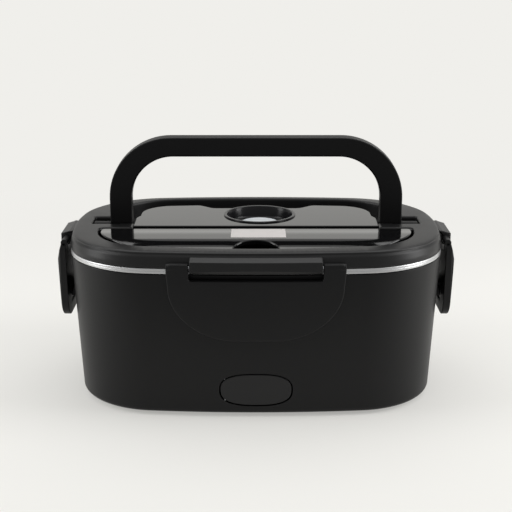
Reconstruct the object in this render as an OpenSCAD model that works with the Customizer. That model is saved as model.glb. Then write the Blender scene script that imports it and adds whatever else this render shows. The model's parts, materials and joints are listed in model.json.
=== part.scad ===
// Electric lunch box: a heated housing with a steel food container, a latched lid with a
// cutlery compartment and a steam well, and a carrying handle that folds into the lid.
// Plan outlines are eight-arc ovals: two long bows, two end bows and four corner arcs.
// Profiles are drawn as [u, z]: u is the distance outward from the plan outline.
// The front is -Y, and z = 0 is the surface that the feet stand on.

/* [Plan outline] */
// Length over the steel rim
body_len = 235; // [225:1:245]
// Depth over the steel rim
body_dep = 152; // [148:1:160]
// Radius of the front and rear bows
long_bow_r = 630; // [560:10:800]
// Radius of the end bows
end_bow_r = 175; // [160:5:220]
// Radius of the corner arcs
corner_r = 55; // [52:1:58]

/* [Housing] */
// Height of the housing wall
housing_h = 89.3; // [84:0.5:98]
// How far the wall leans in from the rim to the bottom
housing_draft = 6.1; // [4:0.1:8]
// Thickness of the housing wall
housing_wall = 2.4; // [2:0.1:3]
// Radius of the bottom edge
bottom_edge_r = 5; // [3:0.5:6]
// Thickness of the bottom cover
bottom_cover_t = 2.4; // [2:0.1:3]
// Height of the feet below the housing
foot_h = 2; // [1.5:0.1:4]
// Diameter of a foot
foot_d = 14; // [10:0.5:18]

/* [Liner and container] */
// Wall of the inner liner
liner_t = 1.2; // [1:0.1:1.6]
// Wall of the steel container
steel_t = 0.8; // [0.6:0.1:1]
// Height of the container's rolled rim
rim_h = 2.7; // [2:0.1:4]
// Width of the container's rolled rim
rim_w = 6; // [5.5:0.1:7]
// Height of the heater space below the container
base_h = 34.3; // [33:0.1:40]
// How far the container wall leans in towards its floor
container_draft = 6.5; // [4:0.5:8]

/* [Heater] */
// Diameter of the heating plate
plate_d = 84; // [70:1:90]
// Thickness of the heating plate
plate_t = 2; // [1.5:0.1:3]

/* [Lid] */
// Height of the lid above the container
lid_h = 10; // [9.5:0.1:12]
// Wall of the lid's side
lid_wall = 2.2; // [2:0.1:2.6]
// Thickness of the lid's top
deck_t = 2.2; // [2:0.1:2.6]
// Depth of the lid's plug below the container rim
plug_depth = 9.7; // [9:0.1:12]

/* [Cutlery cover] */
// Distance from the rim's end to the cover's end
cover_end = 21.3; // [19:0.1:24]
// Distance from the centre to the cover's straight rear edge
cover_rear = 16.2; // [16:0.1:18]
// Distance from the rim's front to the cover's front edge
cover_near = 13; // [12:0.1:16]
// Radius of the cover's front corners
cover_corner_r = 37; // [32:0.5:40]
// Thickness of the cover
cover_t = 2; // [1.6:0.1:2.4]
// Radius of the finger notch
notch_r = 14; // [10:0.5:16]

/* [Steam well] */
// Outer diameter of the well's lip
well_d = 47.4; // [44:0.2:49]
// Place of the well to the right of the centre
well_x = 2.4; // [-4:0.2:4]
// Place of the well behind the centre
well_y = 21.6; // [20:0.2:22]
// Diameter of the steam valve's disc
valve_d = 25; // [20:0.5:27]
// Travel of the steam valve
valve_lift = 4; // [3:0.5:4]

/* [Handle] */
// Distance from the rim's end to the handle's outer side
handle_end = 24.1; // [23.9:0.1:26]
// Width of a leg
leg_w = 14.2; // [13:0.1:14.4]
// Height of the handle's top bar in the picture plane
bar_h = 12; // [10:0.5:12.5]
// Thickness of the handle
handle_t = 9; // [8:0.1:9]
// Height of the handle's top above its pivot
handle_reach = 60.2; // [57:0.2:60.4]
// Outer corner radius of the handle
handle_corner_r = 36; // [32:1:38]

/* [Latches] */
// Half the width of the long latches
long_latch_half_w = 52.3; // [48:0.1:54]
// Half the width of the end latches
end_latch_half_w = 25.3; // [23:0.1:27]
// Height of the latches' lower edge
latch_bottom_z = 52; // [48:0.5:54]
// Half the width of the lid's long hinge blocks
long_block_half_w = 38.7; // [34:0.1:40]
// Half the width of the lid's end hinge blocks
end_block_half_w = 14; // [12:0.1:15]
// Diameter of the hinge pins
hinge_pin_d = 1.8; // [1.6:0.1:2]

/* [Sockets] */
// Width of the oval socket cover
socket_w = 42.9; // [42:0.1:46]
// Height of the oval socket cover
socket_h = 20.1; // [19:0.1:21]
// Height of the socket cover's centre
socket_z = 18; // [17.5:0.1:19]
// Depth of the socket recess
socket_depth = 14; // [12:0.5:16]

/* [Clearances] */
// Gap between pieces that move past each other
move_gap = 0.5; // [0.4:0.05:0.7]
// Gap between the housing, the container and the lid where they meet
seat_gap = 0.3; // [0.3:0.05:0.4]
// Radial clearance of a pin in the piece that turns on it
pin_clear = 0.05; // [0.03:0.01:0.1]

/* [Hidden] */
ROUND = 96;
FINE = 256;
EPS = 0.01;

half_len = body_len / 2;
half_dep = body_dep / 2;
cover_half_w = half_len - cover_end;
cover_front = half_dep - cover_near;
handle_half_w = half_len - handle_end;

// Heights, from the floor up
z_housing = foot_h;
z_rim_seat = z_housing + housing_h;
z_rim = z_rim_seat + seat_gap;
z_rim_top = z_rim + rim_h;
z_lid = z_rim_top + seat_gap;
z_top = z_lid + lid_h;
z_deck = z_top - deck_t;
z_plug = z_rim_top - plug_depth;
z_food = z_housing + base_h;
container_depth = z_rim_top - z_food;
z_liner = z_food - steel_t - seat_gap - 1;

// Centre of the corner arcs: inside both the long bow and the end bow, tangent to each
bow_c = [0, half_dep - long_bow_r];
end_c = [half_len - end_bow_r, 0];
corner_c = inner_tangent_centre(bow_c, long_bow_r - corner_r, end_c, end_bow_r - corner_r);
bow_a = atan2(corner_c[0] - bow_c[0], corner_c[1] - bow_c[1]);
end_a = atan2(corner_c[1] - end_c[1], corner_c[0] - end_c[0]);

// The lower right meeting point of two circles, right of the line from the first to the second
function inner_tangent_centre(p, rp, q, rq) =
    let (d = norm(q - p), a = (rp * rp - rq * rq + d * d) / (2 * d), h = sqrt(rp * rp - a * a),
         e = (q - p) / d)
    p + a * e + h * [e[1], -e[0]];

function arc(c, r, a0, a1, n = 12) = [for (i = [0:n]) c + r * [cos(a0 + (a1 - a0) * i / n),
                                                              sin(a0 + (a1 - a0) * i / n)]];
function flip_x(pts) = [for (i = [len(pts) - 1:-1:0]) [-pts[i][0], pts[i][1]]];
function flip_y(pts) = [for (i = [len(pts) - 1:-1:0]) [pts[i][0], -pts[i][1]]];

// The plan outline moved inward by inset, as points
function oval_quarter(inset) = concat(
    arc(end_c, end_bow_r - inset, 0, end_a, 4),
    arc(corner_c, corner_r - inset, end_a + 2, 88 - bow_a, 14),
    arc(bow_c, long_bow_r - inset, 90 - bow_a, 90, 5));
function oval_points(inset) =
    let (q = oval_quarter(inset), upper = concat(q, flip_x(q)))
    concat(upper, flip_y(upper));

// Points of the outline with their outward directions, once round from +X
function arc_frames(c, r, a0, a1, n) = [for (i = [0:n]) let (a = a0 + (a1 - a0) * i / n)
    [c + r * [cos(a), sin(a)], [cos(a), sin(a)]]];
function flip_frames(f, s) = [for (i = [len(f) - 2:-1:0])
    [[f[i][0][0] * s[0], f[i][0][1] * s[1]], [f[i][1][0] * s[0], f[i][1][1] * s[1]]]];
quarter_frames = concat(
    arc_frames(end_c, end_bow_r, 0, end_a, 2),
    arc_frames(corner_c, corner_r, end_a + (90 - bow_a - end_a) / 11, 90 - bow_a, 10),
    arc_frames(bow_c, long_bow_r, 90 - bow_a * 2 / 3, 90, 2));
half_frames = concat(quarter_frames, flip_frames(quarter_frames, [-1, 1]));
lower_frames = flip_frames(half_frames, [1, -1]);
outline = concat(half_frames, [for (i = [0:len(lower_frames) - 2]) lower_frames[i]]);

// A profile of [u, z] points carried round the whole outline. A closed profile makes a ring;
// an open one makes a cup or dish, with flat ends at its first and last points.
module sweep_oval(profile, closed = true) {
    n = len(profile);
    m = len(outline);
    sides = closed ? n : n - 1;
    polyhedron(
        points = [for (f = outline) for (p = profile)
            [f[0][0] + p[0] * f[1][0], f[0][1] + p[0] * f[1][1], p[1]]],
        faces = concat(
            [for (i = [0:m - 1]) for (j = [0:sides - 1])
                let (k = (i + 1) % m, l = (j + 1) % n)
                [i * n + j, i * n + l, k * n + l, k * n + j]],
            closed ? [] : [[for (i = [0:m - 1]) i * n], [for (i = [m - 1:-1:0]) i * n + n - 1]]),
        convexity = 6);
}

// A flat oval plate between two heights
module oval_plate(inset, z0, z1) {
    translate([0, 0, z0]) linear_extrude(z1 - z0) polygon(oval_points(inset));
}

// How far the housing wall stands inside the outline at height z
function housing_u(z) = -housing_draft * (z_rim_seat - z) / housing_h;

// A shape on the front and its twin on the rear, or on the right and its twin on the left
module at_side(side) {
    rotate([0, 0, side == "rear" ? 180 : side == "right" ? 90 : side == "left" ? -90 : 0]) children();
}

// ---------------------------------------------------------------- housing

seat_lip = 1.5;
ledge_w = 1.3;
rebate_z = z_rim_seat - liner_t;
cover_plate_u = housing_u(z_housing) - bottom_edge_r;
flange_in = 8;
inner_floor_z = z_housing + bottom_cover_t;
flange_t = 2;
catch_out = 1.2;
long_catch_half_w = 14;
end_catch_half_w = 13;
catch_top = latch_bottom_z + 16;
catch_foot = latch_bottom_z + 7;
screw_d = 3;
shank_d = screw_d - 0.4;
screw_head_d = 5.6;
screw_reach = (corner_r + cover_plate_u - flange_in / 2) / sqrt(2);
screw_spots = [for (x = [-1, 1], y = [-1, 1])
    [x * (corner_c[0] + screw_reach), y * (corner_c[1] + screw_reach)]];
boss_d = 7;
boss_h = 8;
screw_l = 8;
recess = 1;
head_h = 1.2;
rib_at = [45, 30];
rib_reach = [60, 40];
rib_t = 1.6;
rib_h = 3;
foot_spots = [for (x = [-1, 1], y = [-1, 1]) [x * (corner_c[0] + 3), y * (corner_c[1] + 22)]];

socket_y = -(half_dep + housing_u(socket_z));
socket_lip = 2;

function edge_points(n = 5) = [for (i = [0:n]) let (a = 90 * i / n)
    [housing_u(z_housing + bottom_edge_r) - bottom_edge_r * (1 - sin(a)),
     z_housing + bottom_edge_r * (1 - cos(a))]];

// A stadium in the XZ plane, from y0 backwards by depth
module oval_prism(w, h, y0, depth) {
    translate([0, y0 + depth, 0]) rotate([90, 0, 0]) linear_extrude(depth) {
        translate([0, socket_z]) square([w - h, h], center = true);
        for (s = [-1, 1]) translate([s * (w - h) / 2, socket_z]) circle(d = h, $fn = ROUND);
    }
}

housing_wall_profile = concat(edge_points(), [
        [0, z_rim_seat], [-seat_lip, z_rim_seat], [-seat_lip, rebate_z],
        [-seat_lip - ledge_w, rebate_z], [-seat_lip - ledge_w, rebate_z - 2],
        [housing_u(rebate_z - 8) - housing_wall, rebate_z - 8],
        [housing_u(inner_floor_z + flange_t + 3) - housing_wall, inner_floor_z + flange_t + 3],
        [cover_plate_u - 1, inner_floor_z + flange_t], [cover_plate_u - flange_in, inner_floor_z + flange_t],
        [cover_plate_u - flange_in, inner_floor_z], [cover_plate_u, inner_floor_z],
        [cover_plate_u, z_housing]]);

// The ledge that a latch's lip reaches under, with a sloping top
module catch_bar(half_w, reach) {
    u_top = housing_u(catch_top);
    translate([-half_w, 0, 0]) rotate([90, 0, 90]) linear_extrude(2 * half_w)
        polygon([[-reach - u_top + 4, catch_top], [-reach - u_top, catch_top],
                 [-reach - catch_out, catch_top - 4], [-reach - catch_out, catch_foot],
                 [-reach - u_top + 4, catch_foot]]);
}

module outer_housing() {
    color("#1d1e20") difference() {
        union() {
            sweep_oval(housing_wall_profile);
            for (s = ["front", "rear"]) at_side(s) catch_bar(long_catch_half_w, half_dep);
            for (s = ["right", "left"]) at_side(s) catch_bar(end_catch_half_w, half_len);
            // Bosses for the bottom screws
            for (p = screw_spots) translate([p[0], p[1], inner_floor_z]) cylinder(d = boss_d, h = boss_h, $fn = 48);
            // Thickened wall behind the socket opening
            intersection() {
                oval_prism(socket_w + 6, socket_h + 5, socket_y - 2, 10);
                translate([-half_len, socket_y + 0.8, inner_floor_z]) cube([body_len, 10, 60]);
            }
        }
        oval_prism(socket_w + 2 * move_gap, socket_h + 2 * move_gap, socket_y - 4, 16);
        // Relief beside the socket cover's hinge
        intersection() {
            oval_prism(socket_w + 2 * hinge_relief, socket_h + 2 * hinge_relief, socket_y - 2, 2 + 2 * socket_pin_in);
            for (z = [socket_z - socket_h / 2 - 2, socket_z + socket_h / 2 - 5])
                translate([socket_hinge[0] - 3, socket_y - 3, z]) cube([5, 10, 7]);
        }
        for (p = screw_spots) translate([p[0], p[1], z_housing])
            cylinder(d = shank_d, h = bottom_cover_t + boss_h - 1.2, $fn = 48);
        translate([socket_hinge[0], socket_hinge[1], socket_z - socket_pin_half])
            cylinder(d = socket_pin_d, h = 2 * socket_pin_half, $fn = 32);
    }
}

module bottom_cover() {
    color("#17181a") difference() {
        union() {
            oval_plate(-cover_plate_u + 0.2, z_housing, inner_floor_z);
            for (s = [-1, 1]) {
                translate([-rib_reach[0], s * rib_at[1] - rib_t / 2, inner_floor_z])
                    cube([2 * rib_reach[0], rib_t, rib_h]);
                translate([s * rib_at[0] - rib_t / 2, -rib_reach[1], inner_floor_z])
                    cube([rib_t, 2 * rib_reach[1], rib_h]);
            }
        }
        for (p = screw_spots) translate([p[0], p[1], z_housing - recess]) {
            cylinder(d = screw_d + 0.4, h = 10, $fn = 48);
            cylinder(d = screw_head_d + 0.6, h = recess + 0.2 + head_h, $fn = 48);
        }
        for (p = foot_spots) translate([p[0], p[1], z_housing - recess])
            cylinder(d = foot_d + 0.2, h = 2 * recess, $fn = 64);
        // Cooling slots under the heater
        for (i = [-3:3]) translate([i * 8, 0, z_housing - 1]) cube([2.5, 26, 2 * bottom_cover_t + 4], center = true);
    }
}

module foot(i) {
    p = foot_spots[i - 1];
    color("#2b2c2e") translate([p[0], p[1], 0]) {
        cylinder(d1 = foot_d - 1.6, d2 = foot_d, h = 1.2, $fn = 64);
        translate([0, 0, 1.2]) cylinder(d = foot_d, h = z_housing + recess - 1.2, $fn = 64);
    }
}

module bottom_screws() {
    color("#8d9094") for (p = screw_spots) translate([p[0], p[1], z_housing + 0.2]) difference() {
        union() {
            cylinder(d = screw_head_d, h = head_h, $fn = 48);
            cylinder(d = shank_d, h = screw_l, $fn = 48);
        }
        for (a = [0, 90]) rotate([0, 0, a]) translate([-1.6, -0.35, -EPS]) cube([3.2, 0.7, 0.8]);
    }
}

// ---------------------------------------------------------------- liner, heater, sockets

container_in = rim_w;
container_out = container_in - steel_t;
liner_gap = 0.8;
liner_in = container_out - liner_gap;
liner_floor_t = 1.6;
z_plate = z_liner + 1;

// Inward offset of the container's inside at height z
function food_u(z) = -container_in - container_draft * (z_rim_top - z) / container_depth;

module inner_liner() {
    top_u = -liner_in;
    low_u = food_u(z_food) + steel_t + liner_gap;
    color("#3a3c3f") difference() {
        sweep_oval([
            [low_u - 4.5, z_liner - liner_floor_t], [low_u + 0.2 + liner_t, z_liner + 5],
            [top_u + liner_t, rebate_z], [-seat_lip - 0.15, rebate_z],
            [-seat_lip - 0.15, z_rim_seat], [top_u, z_rim_seat], [low_u, z_liner + 6],
            [low_u - 4.5, z_liner]], closed = false);
        translate([0, 0, z_liner - liner_floor_t - 1]) cylinder(d = plate_d - 8, h = 6, $fn = 128);
    }
}

module heating_plate() {
    color("#b9bcc0") difference() {
        union() {
            translate([0, 0, z_liner]) cylinder(d = plate_d, h = z_plate - z_liner, $fn = 128);
            translate([0, 0, z_heater_top])
                cylinder(d = plate_d - 8.4, h = plate_t + liner_floor_t - 0.5, $fn = 128);
        }
        for (s = [-1, 1]) translate([s * heater_screw_x, 0, z_heater_top - EPS])
            cylinder(d = 2.6, h = 2, $fn = 32);
    }
}

z_heater_top = z_plate - plate_t - liner_floor_t;
heater_screw_x = 33;
heater_t = 2.4;
insulation_t = 1.2;
clamp_t = 1.2;
heater_l = 44;
heater_w = 15;
heater_pitch = 20;
pad_w = heater_pitch + heater_w + 3;
clamp_w = 24;
clamp_foot_w = 16;
upright_x = heater_l / 2 + 2.9;
thermostat_d = 12;
thermostat_h = 5;

// One heating element for mains and one for the vehicle supply, side by side
module ptc_heater(side) {
    color(side > 0 ? "#c9b38a" : "#bfa778")
        translate([-heater_l / 2, side * heater_pitch / 2 - heater_w / 2, z_heater_top - heater_t])
            cube([heater_l, heater_w, heater_t]);
}

module insulation_pad() {
    color("#e8e4da") translate([-heater_l / 2 - 2, -pad_w / 2, z_heater_top - heater_t - insulation_t])
        cube([heater_l + 4, pad_w, insulation_t]);
}

module heater_clamp() {
    z0 = z_heater_top - heater_t - insulation_t - clamp_t;
    color("#9ea2a6") difference() {
        union() {
            translate([-upright_x - clamp_t / 2, -clamp_w / 2, z0])
                cube([2 * upright_x + clamp_t, clamp_w, clamp_t]);
            for (s = [-1, 1]) {
                translate([s * upright_x - clamp_t / 2, -clamp_foot_w / 2, z0])
                    cube([clamp_t, clamp_foot_w, z_heater_top - z0]);
                translate([s * heater_screw_x - clamp_foot_w / 2, -clamp_foot_w / 2, z_heater_top - clamp_t])
                    cube([clamp_foot_w, clamp_foot_w, clamp_t]);
            }
        }
        // The feet stop at the uprights
        translate([-upright_x + clamp_t / 2, -clamp_w / 2, z_heater_top - clamp_t - EPS])
            cube([2 * upright_x - clamp_t, clamp_w, clamp_t + 1]);
        for (s = [-1, 1]) translate([s * heater_screw_x, 0, z_heater_top - clamp_t - 1])
            cylinder(d = 3.2, h = clamp_t + 2, $fn = 32);
    }
}

module clamp_screws() {
    color("#8d9094") for (s = [-1, 1]) translate([s * heater_screw_x, 0, z_heater_top - clamp_t]) {
        translate([0, 0, -1.6]) cylinder(d = 5, h = 1.6, $fn = 32);
        cylinder(d = 2.6, h = clamp_t + 1.6, $fn = 32);
    }
}

module thermostat() {
    color("#2a2a2c") translate([0, plate_d / 3, z_heater_top - thermostat_h]) {
        cylinder(d = thermostat_d, h = thermostat_h, $fn = 48);
        for (s = [-1, 1]) translate([s * thermostat_d / 4 - 1.2, -0.4, -thermostat_h])
            cube([2.4, 0.8, thermostat_h + 0.1]);
    }
}

inlet_w = 19;
inlet_x = -8.8;
jack_x = 11.6;
socket_face_y = socket_y + socket_depth;
carrier_front = 4.4;

// The carrier closes the recess and holds both sockets
module socket_carrier() {
    wall = 1.6;
    color("#202123") difference() {
        oval_prism(socket_w + 2 * move_gap, socket_h + 2 * move_gap, socket_y + carrier_front,
                   socket_depth - carrier_front + 3);
        difference() {
            oval_prism(socket_w - 2 * wall, socket_h - 2 * wall, socket_y, socket_depth);
            translate([jack_x, socket_face_y - 8, socket_z]) rotate([-90, 0, 0]) cylinder(d = 11, h = 9, $fn = 64);
        }
        translate([jack_x, socket_face_y - 9, socket_z]) rotate([-90, 0, 0]) cylinder(d = 8.2, h = 20, $fn = 64);
        translate([inlet_x - inlet_w / 2, socket_face_y - 1, socket_z - 5]) cube([inlet_w, 6, 10]);
    }
}

module ac_inlet() {
    color("#141517") difference() {
        translate([inlet_x - inlet_w / 2 + 0.1, socket_face_y - 0.6, socket_z - 4.9])
            cube([inlet_w - 0.2, 12, 9.8]);
        for (s = [-1, 1]) translate([inlet_x + s * 5, socket_face_y - 1, socket_z]) rotate([-90, 0, 0])
            cylinder(d = 2.4, h = 20, $fn = 32);
    }
}

module ac_pins() {
    color("#c8cace") for (s = [-1, 1])
        translate([inlet_x + s * 5, socket_face_y - 8, socket_z]) rotate([-90, 0, 0]) {
            cylinder(d1 = 1.4, d2 = 2.4, h = 0.8, $fn = 32);
            translate([0, 0, 0.8]) cylinder(d = 2.4, h = 21, $fn = 32);
        }
}

module dc_jack() {
    color("#b4b7bb") translate([jack_x, socket_face_y - 7.6, socket_z]) rotate([-90, 0, 0]) {
        difference() {
            cylinder(d = 8.1, h = 17, $fn = 64);
            translate([0, 0, -EPS]) cylinder(d = 5.6, h = 11, $fn = 64);
        }
        translate([0, 0, 2]) cylinder(d = 2.1, h = 10, $fn = 32);
    }
}

cover_skin = 2.2;
socket_pin_d = 0.8;
socket_pin_in = 0.65;
socket_hinge = [-socket_w / 2 + 2.65, socket_y + socket_pin_in];
socket_pin_half = socket_h / 2 + 1;
hinge_relief = 1.5;
grip_shift = 2;

// The oval cover, turning on a pin near its left end
module socket_cover() {
    color("#222325") difference() {
        union() {
            intersection() {
                oval_prism(socket_w, socket_h, socket_y - 3, 10);
                front_skin(0, cover_skin);
            }
            // Rim that grips the mouth of the carrier
            translate([grip_shift, 0, 0]) difference() {
                oval_prism(socket_w - 10, socket_h - 4.6, socket_y + cover_skin - 0.6, 3.6);
                oval_prism(socket_w - 12.4, socket_h - 7, socket_y + cover_skin + 0.4, 6);
            }
        }
        translate([socket_hinge[0], socket_hinge[1], socket_z - socket_h])
            cylinder(d = socket_pin_d + 2 * pin_clear, h = 2 * socket_h, $fn = 32);
    }
}

// A skin of the front wall between two depths below its surface
module front_skin(d0, d1) {
    translate([0, -bow_c[1]]) rotate([0, 0, -90 - bow_a]) rotate_extrude(angle = 2 * bow_a, $fn = FINE)
        translate([long_bow_r, 0]) polygon([
            [housing_u(z_housing) - d0, z_housing], [housing_u(60) - d0, 60],
            [housing_u(60) - d1, 60], [housing_u(z_housing) - d1, z_housing]]);
}

module socket_pin() {
    color("#a9acb0") translate([socket_hinge[0], socket_hinge[1], socket_z - socket_pin_half])
        cylinder(d = socket_pin_d, h = 2 * socket_pin_half, $fn = 32);
}

// ---------------------------------------------------------------- steel container

module steel_container() {
    roll = steel_t;
    floor_r = 6;
    low = food_u(z_food);
    color("#c9ccd0") sweep_oval([
        [low - floor_r, z_food - steel_t], [low - 1.2, z_food + 1.2],
        [food_u(z_food + floor_r) + steel_t, z_food + floor_r],
        [-container_out, z_rim_top - roll - 0.4], [-roll - 0.4, z_rim_top - roll - 0.2],
        [-roll, z_rim], [0, z_rim], [0, z_rim_top - 0.7], [-0.7, z_rim_top],
        [-container_in + 0.2, z_rim_top], [-container_in, z_rim_top - 0.4],
        [food_u(z_food + floor_r), z_food + floor_r], [low - 1.8, z_food + 1.8],
        [low - floor_r, z_food]], closed = false);
}

// ---------------------------------------------------------------- lid

ring_in = rim_w + 0.6;
ring_t = 1.4;
plug_in = 11;
plug_t = 1.2;
plug_z = z_lid - 1.2;
groove_top = z_lid + 2.6;
tub_t = 1.4;
pivot = [1.6, z_top - handle_t / 2 - 0.1];
handle_front = pivot[0] - handle_t / 2;
inner_corner_r = handle_corner_r - bar_h;
channel_gap = 1.2;
channel_floor = pivot[1] - handle_t / 2 - move_gap;
island_half_w = handle_half_w - leg_w - channel_gap;
island_rear = pivot[0] + handle_reach - bar_h - channel_gap;
island_corner_r = inner_corner_r - channel_gap - 1.8;
scoop_depth = 9.4;
scoop_half_w = [28, 43];
panel_t = 1.6;
island_t = 1.8;
z_panel = z_top - 0.5 - panel_t;
channel_rear = pivot[0] + handle_reach + 2.6;
pocket_out = handle_half_w + 11.8;
pocket_front = handle_front - 1.6;
pocket_rear = pivot[0] + 13;
channel_front = handle_front - move_gap;
cover_gap = 0.8;
cover_rear_r = 2.4;
cover_bow_drop = 5.2;
cover_axis = [-cover_rear - 1.4, z_top - 0.3 - cover_t / 2];
cover_stud_r = 0.8;
cover_ledge = z_top - 0.3 - cover_t - 0.1;
ledge_base = cover_axis[1] - 2.2 - tub_t;
tray_floor = z_plug + 3;
tray_inset = 2.6;

// Half of the island outline, from its front right corner to the middle of the scoop
function island_points(g = 0) =
    let (w = island_half_w + g, r = island_corner_r + g, back = island_rear + g,
         right = concat([[w, -cover_rear + cover_gap - g]],
                        arc([w - r, back - r], r, 0, 90, 10),
                        arc([scoop_half_w[1], back - 9], 9, 90, 115, 3),
                        arc([scoop_half_w[0], back - scoop_depth + 9], 9, -65, -90, 3)))
    concat(right, flip_x(right));

// The space that the handle folds into, open at the top, without the island
function channel_points(g = 0) =
    let (w = handle_half_w + 0.8 + g, r = handle_corner_r + 1 + g, back = channel_rear + g,
         right = concat([[w, channel_front - g]], arc([w - r, back - r], r, 0, 90, 14)))
    concat(right, flip_x(right));

module pocket_2d(g = 0) {
    for (s = [-1, 1]) translate([s > 0 ? handle_half_w - 6 : -pocket_out - g, pocket_front - g])
        square([pocket_out - handle_half_w + 6 + g, pocket_rear - pocket_front + 2 * g]);
}

// The cutlery cover's outline, grown by g
function cover_points(g = 0) =
    let (w = cover_half_w + g, r = cover_corner_r + g,
         c = [cover_half_w - cover_corner_r, -cover_front + cover_corner_r + cover_bow_drop],
         bow = (c[0] * c[0] / cover_bow_drop + cover_bow_drop) / 2 + g, bow_half = asin(c[0] / bow),
         rr = max(cover_rear_r + g, 0.5), rear = -cover_rear + g - rr)
    concat(
        arc([0, -cover_front + bow - g], bow, 270 - bow_half, 270 + bow_half, 10),
        arc(c, r, -88 + bow_half, 0, 12),
        arc([w - rr, rear], rr, 0, 90, 5),
        arc([-w + rr, rear], rr, 90, 180, 5),
        arc([-c[0], c[1]], r, 180, 268 - bow_half, 12));

lid_rim_profile = [
        [0, z_lid], [0, z_top - 3.4], [-0.3, z_top - 2.6], [-1.1, z_top - 2.1], [-1.5, z_top - 1.7],
        [-1.8, z_top - 0.9], [-2.6, z_top - 0.3], [-3.8, z_top], [-14, z_top], [-14, z_deck],
        [-ring_in - ring_t, z_deck], [-ring_in - ring_t, plug_z + plug_t],
        [-plug_in - plug_t, plug_z + plug_t], [-plug_in - plug_t, plug_z], [-ring_in, plug_z],
        [-ring_in, groove_top], [-lid_wall, groove_top], [-lid_wall, z_lid]];

block_drop = 0.2;
block_out = 6;
block_top_front = z_top - 4.1;
block_top_back = z_top - 2.2;
long_axis = [1.9, z_lid + 2];
end_axis = [2.3, z_lid + 2.6];
long_knuckle_r = 2.4;
end_knuckle_r = 2.2;

// Hinge block of a long latch, bowed with the lid's side
module long_block() {
    a = asin(long_block_half_w / long_bow_r);
    difference() {
        translate([0, -bow_c[1]]) rotate([0, 0, -90 - a]) rotate_extrude(angle = 2 * a, $fn = FINE)
            translate([long_bow_r, 0]) polygon([
                [-lid_wall / 2, z_lid + block_drop], [block_out - 0.6, z_lid + block_drop],
                [block_out, z_lid + block_drop + 0.6], [block_out, block_top_front - 0.8],
                [block_out - 0.8, block_top_front], [-lid_wall / 2, block_top_back]]);
        translate([0, -half_dep - long_axis[0], long_axis[1]]) rotate([0, 90, 0])
            cylinder(d = hinge_pin_d, h = body_len, $fn = 48, center = true);
    }
}

module end_block() {
    difference() {
        translate([-end_block_half_w, 0, 0]) rotate([90, 0, 90]) linear_extrude(2 * end_block_half_w)
            polygon([
                [-half_len + 2, z_lid + block_drop], [-half_len - block_out + 0.6, z_lid + block_drop],
                [-half_len - block_out, z_lid + block_drop + 0.6],
                [-half_len - block_out, block_top_front - 0.8],
                [-half_len - block_out + 0.8, block_top_front], [-half_len + 1.4, block_top_back],
                [-half_len + 2, block_top_back]]);
        translate([0, -half_len - end_axis[0], end_axis[1]]) rotate([0, 90, 0])
            cylinder(d = hinge_pin_d, h = body_dep, $fn = 48, center = true);
    }
}

module lid_shell() {
    color("#232426") difference() {
        union() {
            sweep_oval(lid_rim_profile);
            oval_plate(12, z_deck, z_top);
            // Tubs under the openings
            translate([0, 0, tray_floor - tub_t]) linear_extrude(ledge_base - tray_floor + tub_t + 0.1)
                polygon(cover_points(tub_t - tray_inset));
            translate([0, 0, ledge_base]) linear_extrude(z_top - 0.2 - ledge_base)
                polygon(cover_points(cover_gap + tub_t));
            translate([0, 0, channel_floor - tub_t]) linear_extrude(z_deck - channel_floor + tub_t + 0.1)
                difference() {
                    union() {
                        polygon(channel_points(tub_t));
                        pocket_2d(tub_t);
                    }
                    polygon(island_points(-tub_t));
                }
            // Top plate of the island, and bosses for the handle pins
            translate([0, 0, z_panel - island_t]) linear_extrude(island_t) polygon(island_points());
            for (s = [-1, 1]) translate([s * (pocket_out + tub_t / 2), pivot[0], pivot[1]]) rotate([0, 90 * s, 0])
                cylinder(d = 7, h = 4, $fn = 48);
            for (s = ["front", "rear"]) at_side(s) long_block();
            for (s = ["right", "left"]) at_side(s) end_block();
        }
        // Cutlery tray and the opening that the cover lies in
        translate([0, 0, tray_floor]) linear_extrude(40) polygon(cover_points(-tray_inset));
        translate([0, 0, cover_ledge]) linear_extrude(20) polygon(cover_points(cover_gap));
        translate([0, 0, ledge_base + tub_t]) linear_extrude(20) intersection() {
            polygon(cover_points(cover_gap));
            translate([-half_len, -cover_rear - 4]) square([body_len, 10]);
        }
        // Handle channel and pivot pockets
        translate([0, 0, channel_floor]) linear_extrude(20) difference() {
            union() {
                polygon(channel_points());
                pocket_2d();
            }
            polygon(island_points());
        }
        // Seat of the island panel
        translate([0, 0, z_panel]) linear_extrude(20) polygon(island_points(EPS));
        // Handle pins
        for (s = [-1, 1]) translate([s * (pocket_out + 4), pivot[0], pivot[1]]) rotate([0, -90 * s, 0])
            cylinder(d = handle_pin_d, h = 8, $fn = 48);
        // Studs of the cutlery cover
        for (s = [-1, 1]) translate([s * (cover_half_w + 1.7), cover_axis[0], cover_axis[1]]) rotate([0, -90 * s, 0])
            cylinder(r = cover_stud_r + pin_clear, h = 5, $fn = 48);
        // Steam well
        translate([well_x, well_y, channel_floor - 10]) cylinder(d = well_d - 2.4, h = 40, $fn = ROUND);
    }
}

handle_pin_d = 3;

module island_panel() {
    color("#101113") difference() {
        translate([0, 0, z_panel]) linear_extrude(panel_t) polygon(island_points());
        translate([well_x, well_y, z_panel - 1]) cylinder(d = well_d - 2.4, h = 4, $fn = ROUND);
    }
}

module lid_inner_panel() {
    color("#2c2d30") difference() {
        sweep_oval([
            [-plug_in - 2, z_plug], [-plug_in, z_plug + 2], [-plug_in, plug_z], [-plug_in - plug_t, plug_z],
            [-plug_in - plug_t, z_plug + 2.4], [-plug_in - 2.4, z_plug + plug_t]], closed = false);
        translate([well_x, well_y, z_plug - 1]) cylinder(d = spigot_d + 0.2, h = 4, $fn = 64);
    }
}

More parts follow.
